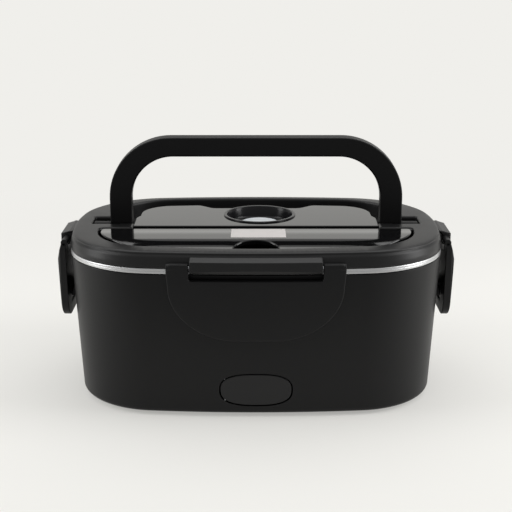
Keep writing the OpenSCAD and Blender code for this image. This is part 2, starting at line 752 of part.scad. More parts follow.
module lid_gasket() {
    color("#d8d9da") sweep_oval([
        [-ring_in + 0.1, groove_top], [-ring_in + 0.1, z_lid + 0.9], [-ring_in + 1.2, z_lid],
        [-lid_wall - 1, z_lid], [-lid_wall - 0.2, z_lid + 0.4], [-lid_wall - 0.2, groove_top]]);
}

spigot_d = 12;
valve_stem_d = 5;
well_floor = z_top - 7;

// The round steam well with its raised lip and the tube that leads to the food
module steam_well() {
    r = well_d / 2;
    color("#18191b") translate([well_x, well_y, 0]) rotate_extrude($fn = ROUND) polygon([
        [valve_stem_d / 2 + 0.08, z_plug], [spigot_d / 2, z_plug], [spigot_d / 2, well_floor - 1.6],
        [valve_d / 2 + 2.4, well_floor - 1.6], [r - 1.25, z_top - 2.6], [r - 1.25, z_panel + panel_t],
        [r, z_panel + panel_t], [r, z_top - 0.1], [r - 0.4, z_top + 0.3], [r - 1, z_top + 0.4],
        [r - 1.8, z_top], [r - 2.6, z_top - 1.6], [valve_d / 2 + 1.2, well_floor],
        [valve_stem_d / 2 + 0.08, well_floor]]);
}

module steam_valve() {
    color("#c5c8cb") translate([well_x, well_y, 0]) rotate_extrude($fn = ROUND) polygon([
        [0, z_plug - 1], [valve_stem_d / 2 - 0.6, z_plug - 1], [valve_stem_d / 2, z_plug - 0.4],
        [valve_stem_d / 2, well_floor + 0.3], [valve_d / 2 - 0.6, well_floor + 0.3],
        [valve_d / 2, well_floor + 0.9], [valve_d / 2 - 0.4, well_floor + 1.5],
        [valve_d / 2 - 3, well_floor + 2.1], [0, well_floor + 2.4]]);
}

// The cutlery cover with its finger notch and two hinge studs
module cutlery_cover() {
    z0 = z_top - 0.3 - cover_t;
    color("#101113") difference() {
        union() {
            translate([0, 0, z0]) linear_extrude(cover_t) polygon(cover_points());
            for (s = [-1, 1]) translate([s * (cover_half_w + 1.4), cover_axis[0], cover_axis[1]]) rotate([0, -90 * s, 0])
                cylinder(r = cover_stud_r, h = 6, $fn = 48);
        }
        translate([0, -cover_front + 2, z0 - 1]) cylinder(r = notch_r, h = cover_t + 2, $fn = ROUND);
    }
}

// ---------------------------------------------------------------- handle

leg_z = pivot[1];
arch_c_z = pivot[1] + handle_reach - handle_corner_r;

// Outer and inner edge of the handle's arch, in pairs, from the right foot to the middle
function arch_pairs() =
    let (xo = handle_half_w - handle_corner_r, ri = inner_corner_r, xi = handle_half_w - leg_w - ri,
         right = concat(
            [[[handle_half_w, leg_z], [handle_half_w - leg_w, leg_z]]],
            [for (i = [0:10]) let (a = 9 * i)
                [[xo + handle_corner_r * cos(a), arch_c_z + handle_corner_r * sin(a)],
                 [xi + ri * cos(a), arch_c_z + ri * sin(a)]]]))
    concat(right, [for (i = [len(right) - 1:-1:0]) [[-right[i][0][0], right[i][0][1]],
                                                    [-right[i][1][0], right[i][1][1]]]]);

// A rounded section between an outer and an inner point, n points to a corner
function arch_ring(o, i, r = 2, n = 3) =
    let (e = (o - i) / norm(o - i), half = norm(o - i) / 2, mid = (o + i) / 2, t = handle_t / 2)
    [for (k = [0:3]) for (j = [0:n])
        let (a = 90 * k + 90 * j / n, su = (k == 0 || k == 3) ? 1 : -1, sy = k < 2 ? 1 : -1,
             u = su * (half - r) + r * cos(a), y = sy * (t - r) + r * sin(a))
        [mid[0] + e[0] * u, pivot[0] + y, mid[1] + e[1] * u]];

module handle_arch() {
    pairs = arch_pairs();
    rings = [for (p = pairs) arch_ring(p[0], p[1])];
    n = len(rings[0]);
    m = len(rings);
    polyhedron(
        points = [for (r = rings) for (p = r) p],
        faces = concat(
            [[for (j = [0:n - 1]) j]],
            [for (i = [0:m - 2]) for (j = [0:n - 1])
                [i * n + j, (i + 1) * n + j, (i + 1) * n + (j + 1) % n, i * n + (j + 1) % n]],
            [[for (j = [n - 1:-1:0]) (m - 1) * n + j]]));
}

module handle() {
    hub_out = pocket_out - 1;
    color("#141517") difference() {
        union() {
            handle_arch();
            for (s = [-1, 1]) translate([s * (handle_half_w - leg_w), pivot[0], pivot[1]]) rotate([0, 90 * s, 0])
                cylinder(d = handle_t, h = hub_out - handle_half_w + leg_w, $fn = 64);
        }
        for (s = [-1, 1]) translate([s * (handle_half_w - 5), pivot[0], pivot[1]]) rotate([0, 90 * s, 0])
            cylinder(d = handle_pin_d + 2 * pin_clear, h = 30, $fn = 48);
    }
}

module handle_pin(s) {
    color("#a9acb0") translate([s * (handle_half_w - 4.5), pivot[0], pivot[1]]) rotate([0, 90 * s, 0])
        cylinder(d = handle_pin_d, h = pocket_out - handle_half_w + 6.5, $fn = 48);
}

// ---------------------------------------------------------------- latches

latch_t = 2.4;
latch_in = catch_out + move_gap;
slot_drop = 5.6;
latch_rim_t = 2;

// Outline of a latch seen from its side of the box, shrunk by g
module latch_2d(half_w, corner, g = 0) {
    z0 = latch_bottom_z + g;
    w = half_w - g;
    low = w - 2.4;
    r = corner - g;
    polygon([[-w, z_lid + 2], [-w, z_lid - 2], [-low, z0 + r], [-low + r, z0], [low - r, z0],
             [low, z0 + r], [w, z_lid - 2], [w, z_lid + 2]]);
    for (s = [-1, 1]) translate([s * (low - r), z0 + r]) circle(r = r, $fn = ROUND);
}

module latch_prism(half_w, corner, reach, g = 0) {
    translate([0, -reach + 12, 0]) rotate([90, 0, 0]) linear_extrude(30) latch_2d(half_w, corner, g);
}

module long_latch_skin(u0, u1, z1) {
    a = asin((long_latch_half_w + 6) / long_bow_r);
    translate([0, -bow_c[1]]) rotate([0, 0, -90 - a]) rotate_extrude(angle = 2 * a, $fn = FINE)
        translate([long_bow_r, 0]) polygon([
            [u0[0], latch_bottom_z - 1], [u1[0], latch_bottom_z - 1], [u1[1], z_lid - 6], [u1[1], z1],
            [u0[1], z1], [u0[1], z_lid - 6]]);
}

// A wide latch: a bowed skin with a turned-in edge, a slot for the hinge block and two knuckles
module long_latch() {
    z1 = long_axis[1];
    color("#1b1c1e") difference() {
        union() {
            difference() {
                intersection() {
                    latch_prism(long_latch_half_w, 30, half_dep);
                    long_latch_skin([latch_in, latch_in + 0.3], [4.4, 5.9], z1);
                }
                intersection() {
                    latch_prism(long_latch_half_w, 30, half_dep, latch_rim_t);
                    long_latch_skin([-4, -2], [4.4 - latch_t, 5.9 - latch_t], z1 + 8);
                }
            }
            // Lip that reaches towards the foot of the catch
            intersection() {
                translate([-long_catch_half_w + 2, -half_dep - 8, latch_bottom_z + 1.6])
                    cube([2 * long_catch_half_w - 4, 12, 3]);
                long_latch_skin([latch_in, latch_in], [3.5, 5.0], z1);
            }
            for (s = [-1, 1]) translate([s * (long_block_half_w + move_gap), -half_dep - long_axis[0], long_axis[1]])
                rotate([0, 90 * s, 0]) cylinder(r = long_knuckle_r, h = long_latch_half_w - long_block_half_w - move_gap, $fn = 64);
        }
        // Room for the hinge block, and the slot below it
        translate([-long_block_half_w - move_gap, -half_dep - 12, z_lid - slot_drop])
            cube([2 * (long_block_half_w + move_gap), 24, 20]);
        translate([0, -half_dep - long_axis[0], long_axis[1]]) rotate([0, 90, 0])
            cylinder(d = hinge_pin_d + 2 * pin_clear, h = body_len, $fn = 48, center = true);
    }
}

// Side view of an end latch: [distance beyond the lid's end, height]
module end_latch_section(inset) {
    z1 = end_axis[1];
    z0 = latch_bottom_z;
    polygon([[4.5 - inset, z1], [7 - inset, z1 - 11], [6.9 - inset, z1 - 16], [5.9 - inset, z0 - 1],
             [latch_in, z0 - 1], [latch_in, z1]]);
}

module end_latch() {
    z1 = end_axis[1];
    color("#1b1c1e") difference() {
        union() {
            difference() {
                intersection() {
                    latch_prism(end_latch_half_w, 14, half_len);
                    translate([-40, -half_len, 0]) rotate([90, 0, 90]) linear_extrude(80) mirror([1, 0]) end_latch_section(0);
                }
                intersection() {
                    latch_prism(end_latch_half_w, 14, half_len, latch_rim_t);
                    translate([-40, -half_len, 0]) rotate([90, 0, 90]) linear_extrude(80) mirror([1, 0])
                        polygon([[4.5 - latch_t, z1 + 5], [7 - latch_t, z1 - 11], [6.9 - latch_t, z1 - 16],
                                 [5.9 - latch_t, 0], [-6, 0], [-6, z1 + 5]]);
                }
            }
            translate([-end_catch_half_w + 2, -half_len - 4.5, latch_bottom_z + 1.6])
                cube([2 * end_catch_half_w - 4, 4.5 - latch_in, 3]);
            for (s = [-1, 1]) translate([s * (end_block_half_w + move_gap), -half_len - end_axis[0], end_axis[1]])
                rotate([0, 90 * s, 0]) cylinder(r = end_knuckle_r, h = end_latch_half_w - end_block_half_w - move_gap, $fn = 64);
        }
        translate([-end_block_half_w - move_gap, -half_len - 12, z_lid - slot_drop])
            cube([2 * (end_block_half_w + move_gap), 24, 20]);
        translate([0, -half_len - end_axis[0], end_axis[1]]) rotate([0, 90, 0])
            cylinder(d = hinge_pin_d + 2 * pin_clear, h = body_dep, $fn = 48, center = true);
    }
}

module hinge_pin(side) {
    long = side == "front" || side == "rear";
    half = (long ? long_latch_half_w : end_latch_half_w) - 1;
    reach = long ? half_dep + long_axis[0] : half_len + end_axis[0];
    color("#a9acb0") at_side(side) translate([-half, -reach, long ? long_axis[1] : end_axis[1]])
        rotate([0, 90, 0]) cylinder(d = hinge_pin_d, h = 2 * half, $fn = 48);
}

SIDES = ["front", "rear", "left", "right"];

outer_housing();
bottom_cover();
bottom_screws();
inner_liner();
heating_plate();
ptc_heater(1);  // ptc_heater_mains
ptc_heater(-1);  // ptc_heater_vehicle
insulation_pad();
heater_clamp();
clamp_screws();
thermostat();
socket_carrier();
ac_inlet();
ac_pins();
dc_jack();
socket_cover();
socket_pin();
steel_container();
lid_shell();
island_panel();
lid_inner_panel();
lid_gasket();
steam_well();
steam_valve();
cutlery_cover();
handle();
handle_pin(-1);  // handle_pin_left
handle_pin(1);  // handle_pin_right
for (i = [1:4]) foot(i);
at_side("front") long_latch();  // latch_front
at_side("rear") long_latch();  // latch_rear
at_side("left") end_latch();  // latch_left
at_side("right") end_latch();  // latch_right
for (s = SIDES) hinge_pin(s);
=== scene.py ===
"""Electric lunch box: the looks of a heated housing, a steel food container, a latched lid with
a cutlery compartment and a steam well, and a carrying handle.

Shapes are worked out in millimetres and put into the mesh in metres. The front is -Y and z = 0 is
the surface that the feet stand on. A profile is drawn as [u, z]: u is the distance outward from
the plan outline, an oval of eight tangent arcs.
"""

import json
import math

import bmesh
import bpy
import numpy as np
from bpy.props import FloatProperty, FloatVectorProperty, IntProperty, PointerProperty
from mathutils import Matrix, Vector
from mathutils.geometry import delaunay_2d_cdt


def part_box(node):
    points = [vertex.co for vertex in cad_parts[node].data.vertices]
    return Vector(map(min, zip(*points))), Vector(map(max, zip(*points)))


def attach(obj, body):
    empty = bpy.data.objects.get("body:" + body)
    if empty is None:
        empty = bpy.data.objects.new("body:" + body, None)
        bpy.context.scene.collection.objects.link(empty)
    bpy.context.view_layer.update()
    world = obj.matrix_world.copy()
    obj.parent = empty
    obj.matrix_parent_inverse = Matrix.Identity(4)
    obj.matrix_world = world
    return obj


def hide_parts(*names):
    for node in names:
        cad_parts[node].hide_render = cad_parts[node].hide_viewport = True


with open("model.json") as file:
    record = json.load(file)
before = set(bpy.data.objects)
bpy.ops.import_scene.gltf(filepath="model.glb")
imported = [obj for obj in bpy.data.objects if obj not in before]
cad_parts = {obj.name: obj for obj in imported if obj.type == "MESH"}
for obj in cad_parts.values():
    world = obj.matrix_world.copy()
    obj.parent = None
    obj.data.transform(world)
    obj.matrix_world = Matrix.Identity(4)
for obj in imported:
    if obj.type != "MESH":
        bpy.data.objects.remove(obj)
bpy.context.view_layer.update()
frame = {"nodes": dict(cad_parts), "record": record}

bl_info = {
    "name": "Electric Lunch Box",
    "version": (1, 0, 0),
    "blender": (4, 5, 0),
    "location": "3D View > Sidebar > Lunch Box",
    "description": "Surfaces, finishes and stage of an electric lunch box",
    "category": "Add Mesh",
}

MM = 0.001
SIDES = ("front", "rear", "left", "right")
LONG_SIDES = ("front", "rear")


def box_mm(node):
    """Lowest and highest corner of a CAD node, in millimetres."""
    low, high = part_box(node)
    return np.array(low) / MM, np.array(high) / MM


# ---- sizes, some of them read from the solids

HALF_LEN, HALF_DEP = box_mm("steel_container")[1][:2]
BOW_R, END_R, CORNER_R = 700.0, 160.0, 56.0
Z_BODY, Z_SEAT = box_mm("outer_housing")[0][2], box_mm("outer_housing")[1][2]
Z_RIM, Z_RIM_TOP = Z_SEAT + 0.3, box_mm("steel_container")[1][2]
Z_LID = Z_RIM_TOP + 0.3
Z_TOP = Z_LID + 10.0
DRAFT = 4.8
BODY_H = Z_SEAT - Z_BODY
PIVOT_Y, PIVOT_Z = 1.6, Z_TOP - 4.6
CHANNEL_FLOOR = PIVOT_Z - 5.0
PANEL_TOP = box_mm("island_panel")[1][2]
PANEL_BASE = box_mm("island_panel")[0][2]
WELL_X, WELL_Y, WELL_R = 2.4, 21.6, 23.7
COVER_TOP = box_mm("cutlery_cover")[1][2]
SOCKET_Z = (box_mm("socket_cover")[0][2] + box_mm("socket_cover")[1][2]) / 2
SOCKET_W, SOCKET_H = 42.9, 20.1
LATCH_LOW = box_mm("latch_front")[0][2]
END_LATCH_LOW = LATCH_LOW - 5.0
FOOT_R = 3.4
OPENING_W, OPENING_H = SOCKET_W + 1.6, SOCKET_H + 1.4
LATCH_T, LATCH_RIM, LATCH_EDGE = 2.4, 2.0, 0.8
PANEL_T = 1.2
OVAL_STEPS = (12, 44, 46)


# ---- curves

def rounded(points, radii, steps=6, closed=True):
    """A polyline whose corners are rounded. At corner P, A and B lie on the two edges at distance
    d from P, and the corner becomes (1-t)^2 A + 2t(1-t) P + t^2 B, with d the radius times the
    tangent of half the turn, at most 0.48 of the edge."""
    p = np.asarray(points, float)
    r = np.broadcast_to(np.asarray(radii, float), (len(p),)).copy()
    before, after = np.roll(p, 1, 0) - p, np.roll(p, -1, 0) - p
    if not closed:
        r[0] = r[-1] = 0
        before[0], after[-1] = -after[0], -before[-1]
    lb, la = np.linalg.norm(before, axis=1), np.linalg.norm(after, axis=1)
    eb, ea = before / lb[:, None], after / la[:, None]
    turn = np.pi - np.arccos(np.clip((eb * ea).sum(1), -1, 1))
    d = np.minimum(r * np.tan(np.minimum(turn, 2.6) / 2), 0.48 * np.minimum(lb, la))
    t = np.linspace(0, 1, steps + 1)[None, :, None]
    a, b = (p + eb * d[:, None])[:, None], (p + ea * d[:, None])[:, None]
    q = ((1 - t) ** 2 * a + 2 * t * (1 - t) * p[:, None] + t**2 * b).reshape(-1, p.shape[1])
    gap = np.linalg.norm(q - np.roll(q, 1, 0), axis=1)
    gap[0] = gap[0] if closed else 1
    return q[gap > 1e-5]


def arc(centre, radius, a0, a1, n):
    """n points of a circle from angle a0 to a1, in degrees: centre + radius (cos a, sin a)."""
    a = np.radians(np.linspace(a0, a1, n))
    return np.stack([centre[0] + radius * np.cos(a), centre[1] + radius * np.sin(a)], 1)


def mirrored(right):
    """A right half and its mirror image in x, listed backwards, without doubling points on the
    axis."""
    left = right[::-1][right[::-1, 0] > 1e-6]
    return np.concatenate([right, left * [-1, 1]])


def with_normals(loop):
    """A closed loop and, at each point, the mitred normal on the right of its direction of travel:
    the sum of both edge normals over 1 plus their dot product."""
    e = np.roll(loop, -1, 0) - loop
    e /= np.linalg.norm(e, axis=1)[:, None]
    n = np.stack([e[:, 1], -e[:, 0]], 1)
    m = np.roll(n, 1, 0)
    return loop, (n + m) / np.maximum(1 + (n * m).sum(1), 0.35)[:, None]


def signed_area(loop):
    """Half the sum of x_i y_(i+1) - x_(i+1) y_i, positive for a loop that runs left round."""
    x, y = loop.T
    return 0.5 * (x * np.roll(y, -1) - np.roll(x, -1) * y).sum()


def outer(loop):
    """A loop turned to run left round, so that its normals point out of it."""
    return with_normals(loop if signed_area(loop) > 0 else loop[::-1])


def hole(loop):
    """A loop turned to run right round, so that its normals point into it."""
    return with_normals(loop if signed_area(loop) < 0 else loop[::-1])


def oval_frames():
    """The plan outline: points c + r (cos a, sin a) of an end bow, a corner and a long bow in the
    first quarter, and their mirror images, with the outward normals (cos a, sin a)."""
    bow, end = np.array([0, HALF_DEP - BOW_R]), np.array([HALF_LEN - END_R, 0])
    rp, rq = BOW_R - CORNER_R, END_R - CORNER_R
    d = np.linalg.norm(end - bow)
    e = (end - bow) / d
    a = (rp**2 - rq**2 + d**2) / (2 * d)
    corner = bow + a * e + math.sqrt(rp**2 - a**2) * np.array([e[1], -e[0]])
    bow_a = math.atan2(corner[0] - bow[0], corner[1] - bow[1])
    end_a = math.atan2(corner[1] - end[1], corner[0] - end[0])
    spans = ((end, END_R, 0, end_a), (corner, CORNER_R, end_a, math.pi / 2 - bow_a),
             (bow, BOW_R, math.pi / 2 - bow_a, math.pi / 2))
    p, n = [], []
    for (c, r, a0, a1), k in zip(spans, OVAL_STEPS):
        angles = np.linspace(a0, a1, k + 1)[(0 if a0 == 0 else 1):]
        way = np.stack([np.cos(angles), np.sin(angles)], 1)
        p.append(c + r * way)
        n.append(way)
    p, n = np.concatenate(p), np.concatenate(n)

    def whole(q):
        return np.concatenate([q[:-1], (q * [-1, 1])[:0:-1], -q[:-1], (q * [1, -1])[:0:-1]])

    return whole(p), whole(n)


OVAL, OVAL_N = oval_frames()


def oval(inset):
    """The plan outline moved inward: P - inset N."""
    return OVAL - inset * OVAL_N


# ---- surfaces

def quads(m, k, wrap_m=True, wrap_k=False, base=0):
    """Faces of an m by k grid of points, numbered row by row from base."""
    i = np.arange(m if wrap_m else m - 1)[:, None]
    j = np.arange(k if wrap_k else k - 1)[None, :]
    i2, j2 = (i + 1) % m, (j + 1) % k
    corners = np.broadcast_arrays(i * k + j, i2 * k + j, i2 * k + j2, i * k + j2)
    return [*map(tuple, np.stack(corners, -1).reshape(-1, 4) + base)]


def sweep(profile, closed=True):
    """A profile of [u, z] carried round the oval: (P_i + u_j N_i, z_j). A closed profile makes a
    ring; an open one makes a cup, whose two ends are filled."""
    q = np.asarray(profile, float)
    xy = OVAL[:, None] + q[None, :, :1] * OVAL_N[:, None]
    v = np.concatenate([xy, np.broadcast_to(q[None, :, 1:], xy.shape[:2] + (1,))], 2)
    m, k = v.shape[:2]
    faces = quads(m, k, True, closed)
    if not closed:
        faces += [tuple(np.arange(m) * k), tuple(np.arange(m)[::-1] * k + k - 1)]
    return v.reshape(-1, 3), faces


def revolve(profile, centre, n, axis="z"):
    """A profile of [r, h] turned about an axis through centre: (r cos a, r sin a, h). An end on
    the axis closes to a point, and any other profile is closed on itself."""
    q = np.asarray(profile, float)
    a = np.linspace(0, 2 * np.pi, n, endpoint=False)[:, None]
    open_ends = q[0, 0] < 1e-6 or q[-1, 0] < 1e-6
    v = np.stack(np.broadcast_arrays(q[:, 0] * np.cos(a), q[:, 0] * np.sin(a), q[:, 1]), -1)
    if axis == "x":
        v = v[..., [2, 0, 1]]
    faces = quads(n, len(q), True, not open_ends)
    return v.reshape(-1, 3) + np.asarray(centre, float), faces


def tube(sections):
    """A solid through closed sections of equal point count, with both ends filled."""
    v = np.stack(sections)
    m, k = v.shape[:2]
    faces = quads(m, k, False, True)
    faces += [tuple(range(k)), tuple((m - 1) * k + np.arange(k)[::-1])]
    return v.reshape(-1, 3), faces


def inside(points, loop):
    """Which points lie in a loop, by the parity of the edges that a ray to the right crosses."""
    x, y = points[:, :1], points[:, 1:]
    (x0, y0), (x1, y1) = loop.T, np.roll(loop, -1, 0).T
    crosses = (y0 > y) != (y1 > y)
    with np.errstate(divide="ignore", invalid="ignore"):
        at = (x1 - x0) * (y - y0) / (y1 - y0) + x0
    return (crosses & (x < at)).sum(1) % 2 == 1

def covered(points, loops):
    """Which points lie in an odd number of the loops: in the outer one and in none of its holes."""
    return sum(inside(points, q) * 1 for q in loops) % 2 == 1

def cap(loops, spacing=None):
    """The face between an outer loop and its holes: a triangulation with the loops as edges, and a
    grid of inner points where the face is curved, of which the triangles inside are kept."""
    flat = np.concatenate(loops)
    starts = np.cumsum([0] + [len(q) for q in loops])
    edges = [(s + i, s + (i + 1) % len(q)) for s, q in zip(starts, loops) for i in range(len(q))]
    if spacing:
        low, high = flat.min(0), flat.max(0)
        x, y = (np.arange(low[c] + spacing / 2, high[c], spacing) for c in (0, 1))
        g = np.stack(np.meshgrid(x, y), -1).reshape(-1, 2)
        near = np.concatenate([np.linspace(q, np.roll(q, -1, 0), 8)[:-1].reshape(-1, 2)
                               for q in loops])
        gap = np.array([((near - v) ** 2).sum(1).min() for v in g])
        flat = np.concatenate([flat, g[(gap > (0.4 * spacing) ** 2) & covered(g, loops)]])
    out = delaunay_2d_cdt([Vector(v) for v in flat], edges, [], 0, 1e-7)
    v, tri = np.array([tuple(p) for p in out[0]]), np.array([tuple(f) for f in out[2]])
    return v, [*map(tuple, tri[covered(v[tri].mean(1), loops)])]


def level(x, y, h):
    """Places a plan shape at height h."""
    return np.stack(np.broadcast_arrays(x, y, h), -1)


def turned(side, x, y):
    """A plan point of the front, carried to a side."""
    return {"front": (x, y), "rear": (-x, -y), "right": (-y, x), "left": (y, -x)}[side]


def on_side(side):
    """Places s along a side, z up and u outward. The long sides follow the bow of radius
    BOW_R + u; an end is straight, at the half length plus u."""
    def place(s, z, u):
        if side in LONG_SIDES:
            x, y = s, -(HALF_DEP - BOW_R + np.sqrt((BOW_R + u) ** 2 - s**2))
        else:
            x, y = s, -(HALF_LEN + u)
        return np.stack(np.broadcast_arrays(*turned(side, x, y), z), -1)
    return place


def solid(loops, rings, place=level, spacing=None):
    """A solid built of rings: every loop moved inward by a ring's inset and set at its lift, joined
    ring to ring, with the first and last rings filled across all the loops. A lift is a number or
    a function of the plan point. Rings are one list for all loops or one list for each."""
    v, faces, base = [], [], 0
    sets = rings if isinstance(rings[0], list) else [rings] * len(loops)

    def put(flat, lift):
        x, y = flat.T
        return place(x, y, lift(x, y) if callable(lift) else lift)

    for (p, n), own in zip(loops, sets):
        v.append(np.stack([put(p - inset * n, lift) for inset, lift in own], 1).reshape(-1, 3))
        faces += quads(len(p), len(own), base=base)
        base += len(p) * len(own)
    for end in (0, -1):
        flat, tri = cap([p - own[end][0] * n for (p, n), own in zip(loops, sets)], spacing)
        v.append(put(flat, sets[0][end][1]))
        faces += [tuple(i + base for i in f) for f in tri]
        base += len(flat)
    return np.concatenate(v), faces


def moved(lift, d):
    """A lift, as a number or a function of the plan point, raised by d."""
    return (lambda x, y: lift(x, y) + d) if callable(lift) else lift + d


def edge(radius, face, way=-1, steps=4):
    """Rings that round an edge of a face: inset r (1 - sin a) at r (1 - cos a) from it. way is -1
    below the face and 1 above it."""
    a = np.linspace(0, np.pi / 2, steps + 1)
    return [(radius * (1 - math.sin(t)), moved(face, way * radius * (1 - math.cos(t)))) for t in a]


def slab(loops, z0, z1, top, bottom):
    """A flat plate between two heights with rounded edges."""
    return solid(loops, edge(top, z1) + edge(bottom, z0, 1)[::-1])


def mesh_of(name, verts, faces, merge, degenerate=None):
    """A mesh whose points closer than merge are joined and whose faces are turned outward. Edges
    shorter than degenerate and loose points go too, if it is given."""
    mesh = bpy.data.meshes.new(name)
    mesh.from_pydata(verts, [], faces)
    bm = bmesh.new()
    bm.from_mesh(mesh)
    bmesh.ops.remove_doubles(bm, verts=bm.verts, dist=merge)
    if degenerate:
        bmesh.ops.dissolve_degenerate(bm, dist=degenerate, edges=bm.edges)
        bmesh.ops.delete(bm, geom=[v for v in bm.verts if not v.link_faces], context="VERTS")
    bmesh.ops.recalc_face_normals(bm, faces=bm.faces)
    bm.to_mesh(mesh)
    bm.free()
    return mesh


def linked(name, data):
    """A new object in the scene."""
    obj = bpy.data.objects.new(name, data)
    bpy.context.scene.collection.objects.link(obj)
    return obj


def swept(name, body, slot, node, profile, radii, steps, closed=False):
    """A piece made of one profile with rounded corners, swept round the oval."""
    piece(name, body, slot, [sweep(rounded(profile, radii, steps, closed), closed)], [node])


def carve(part, cutter):
    """A solid less another, as vertices and faces."""
    objs = [linked("carve", mesh_of("carve", v, f, 1e-5)) for v, f in (part, cutter)]
    cut = objs[0].modifiers.new("cut", "BOOLEAN")
    cut.operation, cut.solver, cut.object = "DIFFERENCE", "EXACT", objs[1]
    result = objs[0].evaluated_get(bpy.context.evaluated_depsgraph_get())
    mesh = bpy.data.meshes.new_from_object(result)
    v = np.zeros(len(mesh.vertices) * 3)
    mesh.vertices.foreach_get("co", v)
    faces = [tuple(p.vertices) for p in mesh.polygons]
    for o in objs:
        bpy.data.objects.remove(o)
    return v.reshape(-1, 3), faces


FINISH = {}


def piece(name, body, slot, parts, replaces=(), sharp=32.0):
    """Joins solids given in millimetres into one smooth-shaded mesh that rides on a body."""
    faces, base = [], 0
    for v, f in parts:
        faces += [tuple(i + base for i in q) for q in f]
        base += len(v)
    mesh = mesh_of(name, np.concatenate([v for v, _ in parts]) * MM, faces, 2e-6, 1e-7)
    mesh.shade_smooth()
    mesh.set_sharp_from_angle(angle=math.radians(sharp))
    mesh.materials.append(FINISH[slot])
    obj = linked(name, mesh)
    weighted = obj.modifiers.new("even_shading", "WEIGHTED_NORMAL")
    weighted.keep_sharp = True
    weighted.weight = 80
    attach(obj, body)
    if replaces:
        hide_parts(*replaces)
    return obj


# ---- shader expressions

def operator(name, reflected=False):
    """A method that adds a Math node, with its operands swapped in the reflected form."""
    def method(self, other):
        a, b = (other, self) if reflected else (self, other)
        return self.mat.add("Math", {0: a, 1: b}, operation=name)
    return method


class Val:
    """A node socket that can be written in expressions; each operator adds its node."""
    __add__, __radd__ = operator("ADD"), operator("ADD", True)
    __sub__, __rsub__ = operator("SUBTRACT"), operator("SUBTRACT", True)
    __mul__, __rmul__ = operator("MULTIPLY"), operator("MULTIPLY", True)
    high, low = operator("MAXIMUM"), operator("MINIMUM")

    def __init__(self, mat, socket):
        self.mat, self.socket = mat, socket

    def ramp(self, a, b, to0=0.0, to1=1.0):
        """Maps a..b to to0..to1 smoothly."""
        return self.mat.add("MapRange", {0: self, 1: a, 2: b, 3: to0, 4: to1},
                            interpolation_type="SMOOTHSTEP")


class Material:
    """A Principled material put together by expressions on Object coordinates."""

    def __init__(self, name, **fixed):
        self.data = bpy.data.materials.new(name)
        self.data.use_nodes = True
        self.tree = self.data.node_tree
        self.shader = self.tree.nodes["Principled BSDF"]
        for socket, value in fixed.items():
            self.shader.inputs[socket.replace("_", " ")].default_value = value
        self.place = self.add("TexCoord", out="Object")

    def add(self, kind, inputs=None, out=0, **settings):
        """One shader node: its settings first, then the values or links of its sockets."""
        node = self.tree.nodes.new("ShaderNode" + kind)
        for key, value in settings.items():
            setattr(node, key, value)
        for key, value in (inputs or {}).items():
            if isinstance(value, Val):
                self.tree.links.new(value.socket, node.inputs[key])
            else:
                node.inputs[key].default_value = value
        return Val(self, node.outputs[out])

    def feed(self, socket, value):
        self.tree.links.new(value.socket, self.shader.inputs[socket])

    def stretch(self, scale, turn=(0, 0, 0)):
        return self.add("Mapping", {"Vector": self.place, "Scale": scale,
                                              "Rotation": turn})

    def noise(self, scale, detail=3.0, rough=0.5, where=None):
        return self.add("TexNoise", {"Vector": where or self.place, "Scale": scale,
                                               "Detail": detail, "Roughness": rough}, out="Fac")

    def cells(self, scale):
        """Distance to the nearest of scattered points."""
        return self.add("TexVoronoi", {"Vector": self.place, "Scale": scale},
                        out="Distance", feature="F1")

    def tone(self, fac, dark, light):
        """A colour between two, by a factor."""
        return self.add("Mix", {0: fac, 6: (*dark, 1), 7: (*light, 1)}, out=2,
                        data_type="RGBA")

    def height(self, value, depth):
        """A bump of the given depth in millimetres."""
        return self.add("Bump", {"Height": value, "Distance": depth * MM,
                                           "Strength": 1.0}, out="Normal")

    def dust(self, density, size, facing, patches, spread):
        """Specks on what faces up, gathered in patches."""
        n = self.add("NewGeometry", out="Normal")
        up = self.add("SeparateXYZ", {0: n}, out="Z")
        specks = self.cells(density).ramp(*size) * up.ramp(*facing)
        return specks * self.noise(patches).ramp(*spread)

    def finish(self, colour, rough, bump):
        """Feeds the three sockets and gives the material."""
        for socket, value in (("Base Color", colour), ("Roughness", rough), ("Normal", bump)):
            self.feed(socket, value)
        return self.data


def scaled(colour, k):
    """A colour times k, at most 1 in each channel."""
    return tuple(min(1.0, c * k) for c in colour)


def moulded(name, colour, rough, spec=0.22):
    """Satin moulded plastic: a fine spark-eroded grain, soft clouds of colour and sheen from the
    mould, and a little dust on what faces up."""
    m = Material(name, Roughness=rough, Specular_IOR_Level=spec)
    grain = 2600.0
    clouds, fine = m.noise(28.0, 4.0), m.noise(grain, 2.0, 0.6)
    specks = m.dust(900.0, (0.10, 0.02), (0.5, 0.95), 60.0, (0.5, 0.75)) * 0.25
    fac = (clouds * 0.6 + fine * 0.4 + specks).low(1.0)
    return m.finish(m.tone(fac, scaled(colour, 0.86), scaled(colour, 1.2)),
                    (clouds - 0.5) * 0.10 + (fine - 0.5) * 0.08 + rough,
                    m.height(fine * 0.7 + m.cells(grain * 0.55) * 0.3, 0.012))


def glossy(name, colour):
    """Piano-gloss plastic: a slight waviness, faint wiping marks in the sheen and fine dust."""
    rough = 0.07
    m = Material(name, Roughness=rough, Specular_IOR_Level=0.4)
    wipe = m.noise(1.0, 3.0, 0.6, m.stretch((18, 240, 60), (0, 0, 0.5)))
    specks = m.dust(620.0, (0.06, 0.015), (0.6, 0.98), 45.0, (0.52, 0.72))
    return m.finish(m.tone(specks * 0.35, colour, (0.30, 0.30, 0.29)),
                    (wipe - 0.5).high(0.0) * 0.16 + specks * 0.25 + rough,
                    m.height(m.noise(55.0, 1.0), 0.01))


